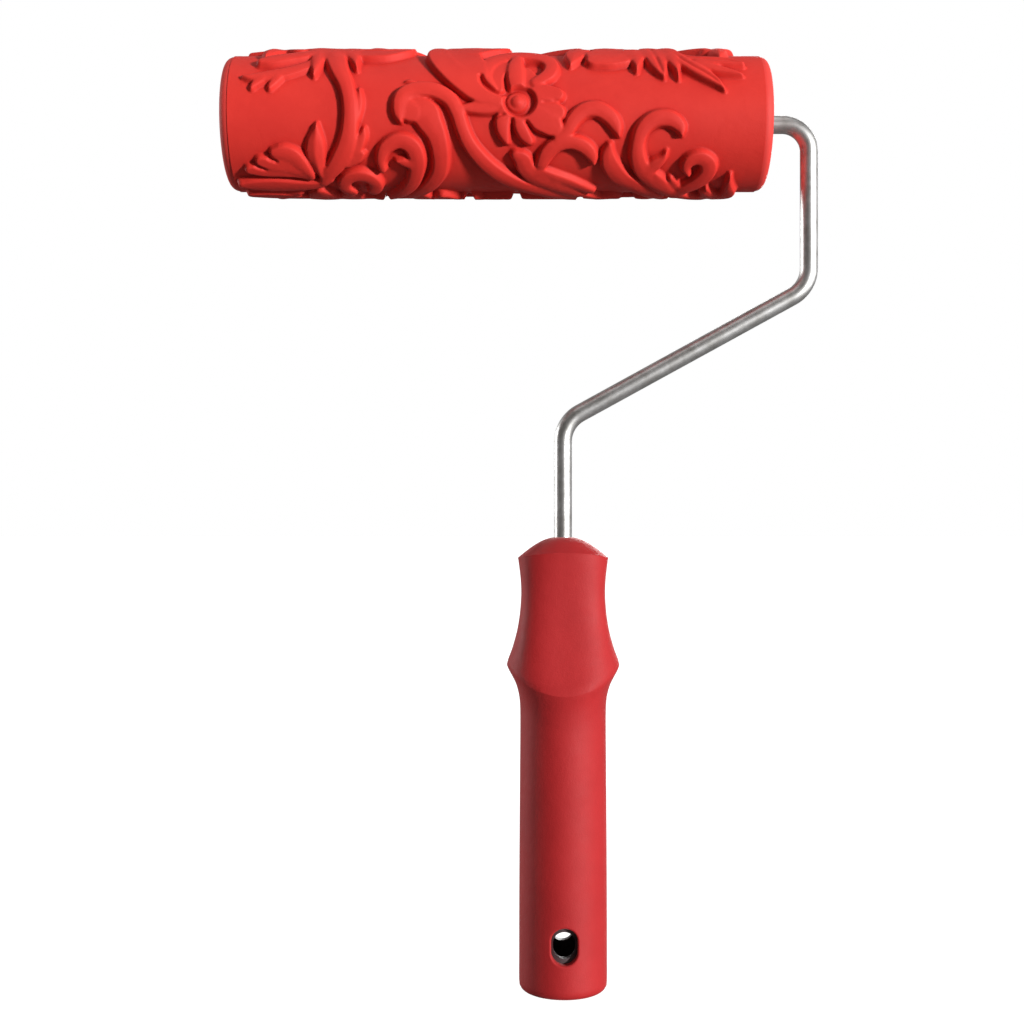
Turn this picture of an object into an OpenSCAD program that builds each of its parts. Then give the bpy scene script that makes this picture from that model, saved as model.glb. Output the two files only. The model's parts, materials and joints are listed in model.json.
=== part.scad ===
// Textured pattern roller: a moulded rubber sleeve with a raised scroll pattern that spins on a bent
// 6 mm rod, and a soft red grip moulded over a stiff core with a socket for an extension pole.
// Frame: origin at the centre of the pole socket's mouth, +Z up the handle, +X along the roller axle.

/* [Roller] */
// Length of the roller over both end flanges
roller_len = 180; // [170:1:200]
// Radius of the smooth rubber between the raised pattern
sleeve_r = 22.2; // [21.5:0.1:23]
// Height of the raised pattern above the smooth rubber
relief_h = 2.6; // [1.5:0.1:3]
// Thickness of the smooth rubber over the core tube
rubber_wall = 4.2; // [3.5:0.1:4.5]
// Height of the roller axle above the butt of the handle
axle_z = 291; // [280:1:310]
// Sideways place of the roller's middle, from the handle's axis
roller_x = -22.2; // [-30:0.1:-15]

/* [Rod] */
// Diameter of the bent steel rod
rod_d = 6; // [5.8:0.1:6]
// Sideways place of the upright part of the crank
crank_x = 82.9; // [80:0.1:88]
// Height of the upper corner of the slanting part
crank_top_z = 236.2; // [230:0.1:240]
// Height of the lower corner of the slanting part
crank_low_z = 190.7; // [185:0.1:195]
// Centreline radius of the bend beside the roller
bend_r_top = 9; // [8:0.5:11]
// Centreline radius of the two bends in the crank
bend_r = 11; // [9:0.5:13]

/* [Handle] */
// Overall height of the handle
handle_h = 152; // [150:0.5:154]
// Depth that the saddle ridge dips by at the front and back
ridge_dip = 9; // [6:0.5:10]
// Radius of the pole socket in the butt
socket_r = 9.6; // [9:0.1:10]
// Depth of the pole socket
socket_depth = 42; // [36:1:46]
// Width of the hanging slot
slot_w = 8.7; // [6:0.1:9]
// Height of the hanging slot, end to end
slot_h = 12.1; // [10:0.1:14]
// Height of the hanging slot's centre above the butt
slot_z = 17.8; // [15:0.1:20]
// Width of the smaller slot in the core, behind the grip's slot
core_slot_w = 7.4; // [5:0.1:7.8]
// Height of the smaller slot in the core, end to end
core_slot_h = 8.8; // [8:0.1:10]

/* [Fits] */
// Radial running clearance of the bushes on the axle
run_gap = 0.05; // [0.03:0.01:0.08]
// End gap between parts that turn against each other
end_gap = 0.15; // [0.1:0.05:0.2]

/* [Hidden] */

rod_r = rod_d / 2;
relief_r = sleeve_r + relief_h;
tube_r = sleeve_r - rubber_wall;
tube_wall = 2;
tube_bore_r = tube_r - tube_wall;
flange_t = 3;
flange_r = sleeve_r - 0.3;
flange_round = 2.8;
// Moulded step in a flange's outer face
step_margin = 4.5;
step_depth = 0.6;
sleeve_len = roller_len - 2 * flange_t;

// Along a hub, from its outer face inwards
cap_seat_r = 9.2;
cap_t = 1.2;
cap_skirt = 3;
recess_r = 7.8;
recess_depth = 12;
boss_r = 10.2;
boss_low_r = 7.6;
bush_r = 5;
bush_flange_r = 7;
bush_flange_t = 1;
bush_len = 13;
plug_depth = 20;
plug_wall = 2.2;
rib_t = 1.6;
hub_depth = recess_depth - bush_flange_t + bush_len;
washer_t = 1;
washer_r = 6.5;
spring_t = 1.4;
nut_h = 6;
nut_af = 10;
nut_crown_h = 1.6;
nylon_h = 1.8;
nylon_wall = 1;
nylon_at = 0.3;
washer_at = recess_depth - bush_flange_t - end_gap - washer_t;
spring_at = washer_at - spring_t;
nut_at = spring_at - nut_h;
axle_end_at = nut_at - 0.8;
spring_slit = 1;
spring_slit_turn = 35;
collar_len = 5;
collar_r = 5.5;
collar_groove_r = 0.8;

// Inside the handle
core_r = 12;
core_neck_r = 8;
core_taper_z = 92;
core_neck_z = 101;
core_top_z = 141;
tail_room_r = 7.5;
tail_room_z = 56;
rod_tail_z = 48;
fin_h = 0.7;
fin_t = 1.4;
fin_len = 12;
fin_z = [78, 112];
push_nut_t = 1;
push_nut_gap = 0.6;
push_nut_slit = 1;
press = 0.05;
FINE = 96;

// ---- axle frame: local +Z runs from a roller end inwards ----

module at_left_end() {
    translate([roller_x - roller_len / 2, 0, axle_z]) rotate([0, 90, 0]) children();
}

module at_right_end() {
    translate([roller_x + roller_len / 2, 0, axle_z]) rotate([0, -90, 0]) children();
}

module ring(outer, inner, length, from = 0) {
    translate([0, 0, from]) difference() {
        cylinder(r = outer, h = length, $fn = FINE);
        translate([0, 0, -1]) cylinder(r = inner, h = length + 2, $fn = FINE);
    }
}

// ---- roller ----

// Middle of the flower, along the sleeve and above the front of it
flower_x = 7;
flower_angle = 3;

// A point at x along the sleeve and angle above the front of it, at radius r
function on_sleeve(x, angle, r) = [x, -r * cos(angle), r * sin(angle)];

// A tapered stroke of the pattern: points are [x, angle, half width], laid on the sleeve.
// Its walls start inside the rubber and its top stands relief_h above it.
module stroke(points) {
    n = len(points);
    deg = 180 / (PI * relief_r);
    along = [for (i = [0 : n - 1])
        let (a = points[max(i - 1, 0)], b = points[min(i + 1, n - 1)],
             d = [b[0] - a[0], (b[1] - a[1]) / deg])
        d / norm(d)];
    function edge(i, side, r) = let (p = points[i], t = along[i])
        on_sleeve(p[0] - side * t[1] * p[2], p[1] + side * t[0] * p[2] * deg, r);
    low = sleeve_r - 1;
    pts = [for (i = [0 : n - 1]) each
        [edge(i, 1, low), edge(i, -1, low), edge(i, -1, relief_r), edge(i, 1, relief_r)]];
    sides = [for (i = [0 : n - 2], k = [0 : 3]) each
        let (a = 4 * i + k, b = 4 * i + (k + 1) % 4)
        [[a, b, b + 4], [a, b + 4, a + 4]]];
    ends = [[3, 2, 1], [3, 1, 0],
        [4 * n - 4, 4 * n - 3, 4 * n - 2], [4 * n - 4, 4 * n - 2, 4 * n - 1]];
    polyhedron(pts, faces = concat(sides, ends));
}

// An arc of the pattern round a centre, from one turn angle to another, widest at its middle
function scroll(x, angle, radius, from, to, half_width, steps = 8) =
    [for (i = [0 : steps])
        let (t = i / steps, turn = from + (to - from) * t, deg = 180 / (PI * relief_r))
        [x + radius * cos(turn), angle + radius * sin(turn) * deg,
         half_width * (0.45 + 0.55 * sin(180 * t))]];

module left_spray() {
    // Main stem, its barb and its small leaf
    stroke([[-56, 58, 2], [-53, 38, 2.6], [-48, 14, 2.8], [-47, -12, 2.8], [-50, -35, 2.6],
        [-56, -54, 1.6]]);
    stroke([[-41.5, -19, 0.6], [-44, -26, 1.5], [-49, -34, 1.4]]);
    stroke([[-43.5, -39, 0.6], [-46, -44, 1.4], [-51, -48, 1]]);
    // Pointed leaf and the fan of lobes beside it
    stroke([[-58, -17, 0.4], [-58.5, -28, 1.8], [-58, -42, 2.3], [-57, -56, 1.6]]);
    stroke([[-64, -33, 0.8], [-64, -42, 1.9], [-60, -54, 1.2]]);
    stroke([[-74, -33, 0.8], [-70, -41, 2.2], [-61, -54, 1.2]]);
    stroke([[-82, -47, 1], [-74, -50, 2.4], [-62, -58, 1.4]]);
    stroke([[-84, -67, 1.4], [-76, -71, 2.6], [-66, -74, 2.6], [-57, -64, 1.6]]);
    stroke([[-80, -86, 1.2], [-70, -90, 2.4], [-60, -84, 1.6]]);
    stroke(scroll(-46, -67, 5.5, 30, 260, 1.8));
    // Leaves that hang from the stem's top
    stroke([[-64, 54, 1.6], [-59, 60, 3], [-49, 62, 2.6], [-45, 52, 1]]);
    stroke([[-80, 42, 0.8], [-73, 47, 2.4], [-62, 50, 1.8]]);
    stroke([[-82, 21, 0.8], [-75, 25, 1.8], [-66, 34, 1.8], [-60, 45, 1.4]]);
}

module middle_curls() {
    // Long stem that crosses under the flower, and the hooked leaf at its head
    stroke([[-21, 9, 1.2], [-16, 2, 1.9], [-12, -12, 2.1], [-6, -32, 2.2], [2, -51, 2.2],
        [14, -70, 2], [26, -92, 1.4]]);
    stroke([[-23, 14, 0.8], [-29, 12, 1.8], [-32.5, 3, 2], [-31, -6, 2], [-23, -13, 2.1],
        [-19, -28, 2.4], [-18, -47, 2.3], [-22, -66, 2], [-30, -92, 1.4]]);
    stroke([[-31, 19, 0.8], [-28, 20, 1.5], [-25, 22, 0.8]]);
    // Curl to the left of them
    stroke([[-36, -48, 1], [-38, -38, 1.6], [-34, -28, 2], [-29, -26, 2.1], [-26, -36, 2.1],
        [-26, -50, 2.1], [-29, -66, 1.8], [-34, -86, 1.2]]);
    // Ribbons that fall into the flower from above
    stroke([[-26, 47, 1], [-17, 31, 2.2], [-10, 17, 2.2], [-1, 6, 1.2]]);
    stroke([[-17, 52, 1], [-9, 33, 2], [-5, 18, 1.8], [1, 9, 1]]);
}

// One petal: it leaves the flower's middle at a turn angle and is widest near its tip
module petal(turn, reach, half_width) {
    deg = 180 / (PI * relief_r);
    stroke([for (s = [[0.3, 0.4], [0.7, 1], [1, 0.55]])
        [flower_x + reach * s[0] * cos(turn), flower_angle + reach * s[0] * sin(turn) * deg,
         half_width * s[1]]]);
}

module flower() {
    stroke([[flower_x - 2, flower_angle, 1], [flower_x - 0.8, flower_angle, 1.9],
        [flower_x + 0.8, flower_angle, 1.9], [flower_x + 2, flower_angle, 1]]);
    for (turn = [-125, -88, -52, -8, 40, 88]) petal(turn, 14, 2.8);
    // Ribbon that loops over the top petal
    stroke([[-4, 26, 1], [-3, 41, 1.8], [6, 50, 2], [15, 44, 1.8], [19, 27, 1]]);
}

module right_scrolls() {
    stroke([[25, 3, 0.8], [31, 4, 1.8], [36, -3, 2.2], [38, -13, 2], [37, -24, 1.2]]);
    stroke([[14, -38, 1], [17, -27, 1.8], [23, -24, 2.2], [28, -31, 2.2], [31, -41, 1.8], [30, -50, 1]]);
    stroke([[7, -37, 1.2], [12, -49, 2], [20, -60, 2.2], [31, -76, 1.4]]);
    stroke([[35, -32, 0.8], [37, -45, 2], [42, -59, 2.2], [51, -77, 1.4]]);
    // Large open scroll and its barb
    stroke([[60, -18, 1], [55, -11, 1.8], [49, -16, 2.4], [47, -30, 2.6], [49, -47, 2.6],
        [54, -63, 2.2], [63, -82, 1.2]]);
    stroke([[55.5, -37, 0.5], [51, -43, 1.4], [49, -46, 1.4]]);
    // Closed curl at the right end, and the spike beside it
    stroke([[61, -45, 0.8], [62.5, -38, 1.6], [66, -37, 2], [69, -46, 2.2], [68, -58, 2.2],
        [63, -71, 1.8], [56, -88, 1.2]]);
    stroke([[77, -57, 0.5], [76, -68, 1.8], [79, -81, 2.2], [83, -95, 1.2]]);
}

module top_leaves() {
    stroke([[21, 44, 1.2], [25, 50, 2.6], [27, 62, 1.8]]);
    stroke([[29, 44, 1.4], [36, 47, 3], [44, 43, 1.6]]);
    stroke([[57, 32, 0.6], [50, 42, 2], [42, 54, 2], [36, 64, 1.6]]);
    stroke([[72, 17, 0.5], [66, 28, 1.8], [60, 44, 2], [54, 58, 1.4]]);
    stroke([[77, 22, 0.5], [72, 34, 1.8], [65, 46, 1.6]]);
    stroke([[80, 40, 0.8], [73, 46, 2.2], [62, 54, 1.6]]);
    stroke([[68, 60, 1.2], [73, 62, 2.4], [79, 58, 1]]);
}

// Stems that join one side's leaves to the other side's stems
module crest() {
    stroke([[-78, 70, 1.2], [-70, 73, 2.2], [-62, 68, 1.4]]);
    stroke([[-58, 70, 1.6], [-47, 76, 2.6], [-37, 76, 2.6], [-27, 68, 1.6]]);
    stroke([[-19, 62, 1.4], [-10, 71, 2.4], [-2, 73, 2.4], [6, 66, 1.4]]);
    stroke([[21, 70, 1.6], [33, 76, 2.6], [46, 76, 2.6], [60, 68, 1.4]]);
    stroke([[66, 74, 1.2], [73, 78, 2.2], [80, 74, 1]]);
}

module pattern_side() {
    left_spray();
    middle_curls();
    flower();
    right_scrolls();
    top_leaves();
    crest();
}

module pattern_sleeve() {
    color([0.86, 0.2, 0.16]) translate([roller_x, 0, axle_z]) difference() {
        union() {
            translate([-sleeve_len / 2, 0, 0]) rotate([0, 90, 0])
                cylinder(r = sleeve_r, h = sleeve_len, $fn = FINE);
            pattern_side();
            rotate([180, 0, 0]) pattern_side();
        }
        translate([-sleeve_len / 2 - 1, 0, 0]) rotate([0, 90, 0])
            cylinder(r = tube_r, h = sleeve_len + 2, $fn = FINE);
    }
}

module core_tube() {
    color([0.82, 0.82, 0.8]) at_left_end() ring(tube_r, tube_bore_r, sleeve_len, flange_t);
}

// A hub: a flange that closes the roller's end, a plug in the core tube, a boss for the bush, and ribs
module hub(capped) {
    difference() {
        union() {
            difference() {
                intersection() {
                    union() {
                        cylinder(r = flange_r - flange_round, h = flange_t, $fn = FINE);
                        translate([0, 0, flange_round])
                            cylinder(r = flange_r, h = flange_t - flange_round, $fn = FINE);
                        rotate_extrude($fn = FINE)
                            translate([flange_r - flange_round, flange_round])
                                circle(r = flange_round, $fn = 48);
                    }
                    cylinder(r = flange_r + 1, h = flange_t, $fn = FINE);
                }
                // Shallow moulded step in the outer face
                ring(flange_r - step_margin, cap_seat_r + plug_wall, step_depth + 1, -1);
            }
            ring(tube_bore_r, tube_bore_r - plug_wall, plug_depth - flange_t, flange_t);
            cylinder(r = boss_r, h = recess_depth + 2, $fn = FINE);
            cylinder(r = boss_low_r, h = hub_depth, $fn = FINE);
            for (turn = [0 : 60 : 300])
                rotate([0, 0, turn]) translate([boss_low_r - 1, -rib_t / 2, flange_t])
                    cube([tube_bore_r - boss_low_r, rib_t, plug_depth - flange_t - 2]);
        }
        translate([0, 0, -1]) cylinder(r = recess_r, h = recess_depth + 1, $fn = FINE);
        cylinder(r = bush_r, h = hub_depth + 1, $fn = FINE);
        if (capped) translate([0, 0, -1]) cylinder(r = cap_seat_r, h = cap_t + 1, $fn = FINE);
    }
}

module left_hub() {
    color([0.72, 0.16, 0.17]) at_left_end() hub(true);
}

module right_hub() {
    color([0.72, 0.16, 0.17]) at_right_end() hub(false);
}

// Flanged plain bearing, pushed into the hub from outside
module bush() {
    difference() {
        union() {
            translate([0, 0, recess_depth - bush_flange_t])
                cylinder(r = bush_flange_r, h = bush_flange_t, $fn = FINE);
            translate([0, 0, recess_depth])
                cylinder(r = bush_r, h = bush_len - bush_flange_t, $fn = FINE);
        }
        cylinder(r = rod_r + run_gap, h = hub_depth + 1, $fn = FINE);
    }
}

module left_bush() {
    color([0.93, 0.92, 0.87]) at_left_end() bush();
}

module right_bush() {
    color([0.93, 0.92, 0.87]) at_right_end() bush();
}

// Snap-in cap that closes the nut's recess
module dust_cap() {
    color([0.72, 0.16, 0.17]) at_left_end() union() {
        cylinder(r = cap_seat_r - press, h = cap_t, $fn = FINE);
        ring(recess_r - press, recess_r - 1, cap_skirt, cap_t);
    }
}

// ---- hardware on the axle ----

module left_thrust_washer() {
    color([0.75, 0.76, 0.78]) at_left_end() ring(washer_r, rod_r, washer_t, washer_at);
}

module right_thrust_washer() {
    color([0.75, 0.76, 0.78]) at_right_end() ring(washer_r, rod_r, washer_t, washer_at);
}

// Split spring washer that locks the nut
module spring_washer() {
    color([0.6, 0.61, 0.63]) at_left_end() difference() {
        ring(collar_r, rod_r, spring_t, spring_at);
        translate([0, 0, spring_at - 1]) rotate([0, 0, spring_slit_turn])
            translate([rod_r - 1, -spring_slit / 2, 0])
                cube([collar_r, spring_slit, spring_t + 2]);
    }
}

// Hexagon nut with a round crown that holds a nylon ring
module lock_nut() {
    color([0.78, 0.79, 0.81]) at_left_end() difference() {
        union() {
            translate([0, 0, nut_at + nut_crown_h])
                cylinder(d = nut_af / cos(30), h = nut_h - nut_crown_h, $fn = 6);
            translate([0, 0, nut_at]) cylinder(r = nut_af / 2 - 0.2, h = nut_crown_h, $fn = FINE);
        }
        translate([0, 0, nut_at - 1]) cylinder(r = rod_r, h = nut_h + 2, $fn = FINE);
        translate([0, 0, nut_at + nylon_at]) cylinder(r = rod_r + nylon_wall, h = nylon_h, $fn = FINE);
        translate([0, 0, nut_at - 1]) cylinder(r = rod_r + nylon_wall / 2, h = 2, $fn = FINE);
    }
}

module nut_nylon_ring() {
    color([0.2, 0.35, 0.75]) at_left_end()
        ring(rod_r + nylon_wall, rod_r, nylon_h, nut_at + nylon_at);
}

// Collar swaged on the axle, which the roller bears against beside the crank
module stop_collar() {
    color([0.7, 0.71, 0.73]) at_right_end() difference() {
        ring(collar_r, rod_r, collar_len, washer_at - collar_len);
        translate([0, 0, washer_at - collar_len / 2]) rotate_extrude($fn = FINE)
            translate([collar_r + 0.3, 0]) circle(r = collar_groove_r, $fn = 24);
    }
}

// ---- bent rod ----

// A bend starts this many degrees inside the straights beside it, and is this much thinner than they are
bend_overlap = 2;
bend_inset = 0.01;

function heading(a, b) = atan2(b[1] - a[1], b[0] - a[0]);

// A round rod in the XY plane through corner points, with a true arc at each inner corner
module bent_rod(corners, radii, r) {
    n = len(corners);
    dirs = [for (i = [0 : n - 2]) heading(corners[i], corners[i + 1])];
    turn = [for (i = [0 : n - 1]) i == 0 || i == n - 1 ? 0 :
        let (d = dirs[i] - dirs[i - 1]) d > 180 ? d - 360 : d < -180 ? d + 360 : d];
    cut = [for (i = [0 : n - 1]) radii[i] * tan(abs(turn[i]) / 2)];
    for (i = [0 : n - 2]) {
        a = corners[i] + cut[i] * [cos(dirs[i]), sin(dirs[i])];
        b = corners[i + 1] - cut[i + 1] * [cos(dirs[i]), sin(dirs[i])];
        translate([a[0], a[1], 0]) rotate([0, 0, dirs[i]]) rotate([0, 90, 0])
            cylinder(r = r, h = norm(b - a), $fn = 36);
    }
    for (i = [1 : n - 2]) {
        side = sign(turn[i]);
        a = corners[i] - cut[i] * [cos(dirs[i - 1]), sin(dirs[i - 1])];
        c = a + radii[i] * side * [-sin(dirs[i - 1]), cos(dirs[i - 1])];
        translate([c[0], c[1], 0])
            rotate([0, 0, dirs[i - 1] - side * 90 - (side < 0 ? abs(turn[i]) : 0) - bend_overlap])
                rotate_extrude(angle = abs(turn[i]) + 2 * bend_overlap, $fn = 72)
                    translate([radii[i], 0]) circle(r = r - bend_inset, $fn = 36);
    }
}

module wire_frame() {
    axle_end_x = roller_x - roller_len / 2 + axle_end_at;
    corners = [[axle_end_x, axle_z], [crank_x, axle_z], [crank_x, crank_top_z], [0, crank_low_z],
        [0, rod_tail_z]];
    color([0.74, 0.75, 0.76]) union() {
        rotate([90, 0, 0]) bent_rod(corners, [0, bend_r_top, bend_r, bend_r, 0], rod_r);
        // Pinched fins that stop the rod turning in the handle core
        for (z = fin_z, turn = [0, 90])
            translate([0, 0, z]) rotate([0, 0, turn])
                cube([rod_d + 2 * fin_h, fin_t, fin_len], center = true);
    }
}

// ---- handle ----

module core_outside() {
    cylinder(r = core_r, h = core_taper_z, $fn = FINE);
    translate([0, 0, core_taper_z])
        cylinder(r1 = core_r, r2 = core_neck_r, h = core_neck_z - core_taper_z, $fn = FINE);
    translate([0, 0, core_neck_z])
        cylinder(r = core_neck_r, h = core_top_z - core_neck_z, $fn = FINE);
}

// Stadium prism through the handle, from front to back
module slot_cutter(width, height) {
    straight = (height - width) / 2;
    translate([0, 25, slot_z]) rotate([90, 0, 0]) union() {
        translate([0, straight, 0]) cylinder(r = width / 2, h = 50, $fn = FINE);
        translate([0, -straight, 0]) cylinder(r = width / 2, h = 50, $fn = FINE);
        translate([-width / 2, -straight, 0]) cube([width, 2 * straight, 50]);
    }
}

// Stiff core with the pole socket, the room for the rod's tail, and the rod's bore
module handle_core() {
    color([0.13, 0.12, 0.13]) difference() {
        core_outside();
        translate([0, 0, -1]) cylinder(r = socket_r, h = socket_depth + 1, $fn = FINE);
        cylinder(r = tail_room_r, h = tail_room_z, $fn = FINE);
        cylinder(r = rod_r, h = core_top_z + 1, $fn = FINE);
        slot_cutter(core_slot_w, core_slot_h);
    }
}

// Push-on toothed ring that holds the rod's tail in the core
module rod_push_nut() {
    color([0.6, 0.61, 0.63]) translate([0, 0, tail_room_z - push_nut_t]) difference() {
        cylinder(r = tail_room_r - push_nut_gap, h = push_nut_t, $fn = FINE);
        translate([0, 0, -1]) cylinder(r = rod_r, h = push_nut_t + 2, $fn = FINE);
        for (turn = [0 : 60 : 300])
            rotate([0, 0, turn]) translate([rod_r - 0.5, -push_nut_slit / 2, -1])
                cube([2.2, push_nut_slit, push_nut_t + 2]);
    }
}

// Handle surface, one row per station: [height at the sides, height at the front, half width, half depth]
ridge_z = 109.2;
rim_z = 145.1;
function stations() = [
    [0, 0, 12.9, 12.9], [0.5, 0.5, 13.9, 13.9], [1.4, 1.4, 14.5, 14.5], [3, 3, 14.8, 14.8],
    [20, 20, 14.8, 14.8], [45, 44, 14.7, 14.7], [72, 68, 14.5, 14.5],
    [88, 80, 14.4, 14.4], [96, 87, 14.5, 14.5], [100.5, ridge_z - ridge_dip - 8, 15.2, 15],
    [104, ridge_z - ridge_dip - 4.4, 16.4, 15.8], [107, ridge_z - ridge_dip - 1.6, 18.2, 16.8],
    [ridge_z, ridge_z - ridge_dip, 18.9, 17.2], [111, ridge_z - ridge_dip + 1.8, 18.5, 16.7],
    [114, 105, 17.4, 15.6], [117.3, 110, 16.4, 14.2], [121, 116, 15.4, 12.8], [126, 122.5, 14.6, 11.7],
    [131, 128.5, 14.15, 11], [136, 134.5, 14.2, 10.9], [141, 141, 14.7, 11.2],
    [rim_z, rim_z + 1.9, 15.2, 11.7],
    for (t = [0.2, 0.4, 0.6, 0.78])
        [rim_z + (handle_h - rim_z) * sin(90 * t), rim_z + 1.9 + (handle_h - rim_z - 1.9) * sin(90 * t),
         15.2 * (1 - t), 11.7 * (1 - t)]];

module handle_surface() {
    rows = stations();
    around = 64;
    n = len(rows);
    // Blend from the side's height to the front's as the angle comes round to the front or back
    pts = [for (s = rows, k = [0 : around - 1])
        let (turn = 360 * k / around, front = cos(turn) * cos(turn))
        [s[2] * sin(turn), -s[3] * cos(turn), s[0] + (s[1] - s[0]) * front]];
    wall = [for (i = [0 : n - 2], k = [0 : around - 1]) each
        let (a = i * around + k, b = i * around + (k + 1) % around)
        [[a, a + around, b + around], [a, b + around, b]]];
    butt = [for (k = [0 : around - 1]) k];
    // The last ring is closed by a fan to a middle point, because it isn't flat
    top = [for (k = [0 : around - 1])
        [(n - 1) * around + k, n * around, (n - 1) * around + (k + 1) % around]];
    polyhedron(concat(pts, [[0, 0, handle_h]]), faces = concat(wall, [butt], top));
}

module grip() {
    color([0.74, 0.17, 0.18]) difference() {
        handle_surface();
        core_outside();
        translate([0, 0, -1]) cylinder(r = core_r, h = 2, $fn = FINE);
        cylinder(r = rod_r, h = handle_h + 1, $fn = FINE);
        slot_cutter(slot_w, slot_h);
    }
}

pattern_sleeve();
core_tube();
left_hub();
right_hub();
left_bush();
right_bush();
dust_cap();
left_thrust_washer();
right_thrust_washer();
spring_washer();
lock_nut();
nut_nylon_ring();
stop_collar();
wire_frame();
handle_core();
grip();
rod_push_nut();
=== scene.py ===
"""Looks of the textured pattern roller: relief sleeve, hubs, bent rod, grip, materials, light and camera."""
import json
import math

import bmesh
import bpy
import numpy as np
from mathutils import Matrix, Vector


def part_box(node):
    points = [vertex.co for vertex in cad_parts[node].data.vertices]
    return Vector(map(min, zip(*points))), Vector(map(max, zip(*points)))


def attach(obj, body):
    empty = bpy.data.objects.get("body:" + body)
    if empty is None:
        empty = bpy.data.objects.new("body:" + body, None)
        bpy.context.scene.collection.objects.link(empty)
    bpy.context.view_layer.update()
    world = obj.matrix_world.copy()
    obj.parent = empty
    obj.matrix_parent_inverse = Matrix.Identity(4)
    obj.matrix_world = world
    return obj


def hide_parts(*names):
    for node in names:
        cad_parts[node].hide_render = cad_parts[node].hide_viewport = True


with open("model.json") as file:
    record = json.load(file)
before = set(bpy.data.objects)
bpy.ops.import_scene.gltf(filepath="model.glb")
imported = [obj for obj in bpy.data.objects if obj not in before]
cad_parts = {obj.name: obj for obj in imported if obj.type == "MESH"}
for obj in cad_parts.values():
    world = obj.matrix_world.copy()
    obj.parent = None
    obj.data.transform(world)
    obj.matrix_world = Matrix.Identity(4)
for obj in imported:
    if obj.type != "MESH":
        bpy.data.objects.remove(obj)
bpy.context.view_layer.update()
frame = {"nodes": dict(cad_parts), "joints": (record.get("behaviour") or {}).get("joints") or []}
nodes = frame["nodes"]
MM = 0.001


# ---------------------------------------- sizes, read from the frame

def box_mm(node):
    """Lowest and highest corner of a CAD node, in millimetres."""
    return [np.array(corner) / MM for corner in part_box(node)]


JOINT = frame["joints"][0]
ROLLER_X, _, AXLE_Z = [value / MM for value in JOINT["pos_m"]]
sleeve_low, sleeve_high = box_mm("pattern_sleeve")
tube_low, tube_high = box_mm("core_tube")
hub_low, hub_high = box_mm("left_hub")
wire_low, wire_high = box_mm("wire_frame")

SLEEVE_LEN = sleeve_high[0] - sleeve_low[0]
RELIEF_R = (sleeve_high[1] - sleeve_low[1]) / 2
TUBE_R = (tube_high[1] - tube_low[1]) / 2
RELIEF_H = 2.6
SLEEVE_R = RELIEF_R - RELIEF_H
FLANGE_R = (hub_high[1] - hub_low[1]) / 2
FLANGE_T = 3.0
MM_PER_DEGREE = math.pi * RELIEF_R / 180


# ---------------------------------------- small mesh helpers

def new_object(name, verts_mm, faces, smooth=True):
    """A mesh object from points in millimetres."""
    mesh = bpy.data.meshes.new(name)
    mesh.from_pydata((np.asarray(verts_mm, float) * MM).tolist(), [], faces)
    mesh.validate()
    mesh.update()
    piece = bpy.data.objects.new(name, mesh)
    bpy.context.scene.collection.objects.link(piece)
    mesh.polygons.foreach_set("use_smooth", [smooth] * len(mesh.polygons))
    return piece


def apply_modifiers(piece):
    """Replaces the piece's mesh by what its modifiers make of it."""
    depsgraph = bpy.context.evaluated_depsgraph_get()
    mesh = bpy.data.meshes.new_from_object(piece.evaluated_get(depsgraph))
    piece.modifiers.clear()
    piece.data = mesh


def smooth_by_angle(piece, degrees):
    """Smooth shading that keeps edges sharper than this angle."""
    mesh = piece.data
    mesh.polygons.foreach_set("use_smooth", [True] * len(mesh.polygons))
    mesh.set_sharp_from_angle(angle=math.radians(degrees))


def face_outwards(piece):
    """Turns every face of a closed piece outwards."""
    bm = bmesh.new()
    bm.from_mesh(piece.data)
    bmesh.ops.recalc_face_normals(bm, faces=bm.faces)
    bm.to_mesh(piece.data)
    bm.free()


def grid_faces(rows, columns):
    """Quads of a grid of points stored row by row, each row closed on itself."""
    i, k = np.meshgrid(np.arange(rows - 1), np.arange(columns), indexing="ij")
    following = (k + 1) % columns
    corners = [i * columns + k, i * columns + following, (i + 1) * columns + following, (i + 1) * columns + k]
    return np.stack(corners, axis=-1).reshape(-1, 4).tolist()


def ring_faces(rows, columns):
    """The same, with the last row joined to the first."""
    last = (rows - 1) * columns
    return grid_faces(rows, columns) + [[last + k, last + (k + 1) % columns, (k + 1) % columns, k]
                                        for k in range(columns)]


def capped_faces(rows, columns):
    """The same, with the first and last rows each closed by one face."""
    first = list(range(columns))
    return grid_faces(rows, columns) + [first, [(rows - 1) * columns + k for k in reversed(first)]]


def lathe(name, profile, around=128):
    """A closed solid turned about the local Z axis from a closed profile of (radius, height) points."""
    turn = np.linspace(0, 2 * math.pi, around, endpoint=False)
    rows = [np.stack([r * np.cos(turn), r * np.sin(turn), np.full(around, z)], axis=1) for r, z in profile]
    piece = new_object(name, np.concatenate(rows), ring_faces(len(profile), around))
    bm = bmesh.new()
    bm.from_mesh(piece.data)
    bmesh.ops.remove_doubles(bm, verts=bm.verts, dist=1e-7)
    bmesh.ops.dissolve_degenerate(bm, edges=bm.edges, dist=1e-8)
    bmesh.ops.recalc_face_normals(bm, faces=bm.faces)
    bm.to_mesh(piece.data)
    bm.free()
    return piece


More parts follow.
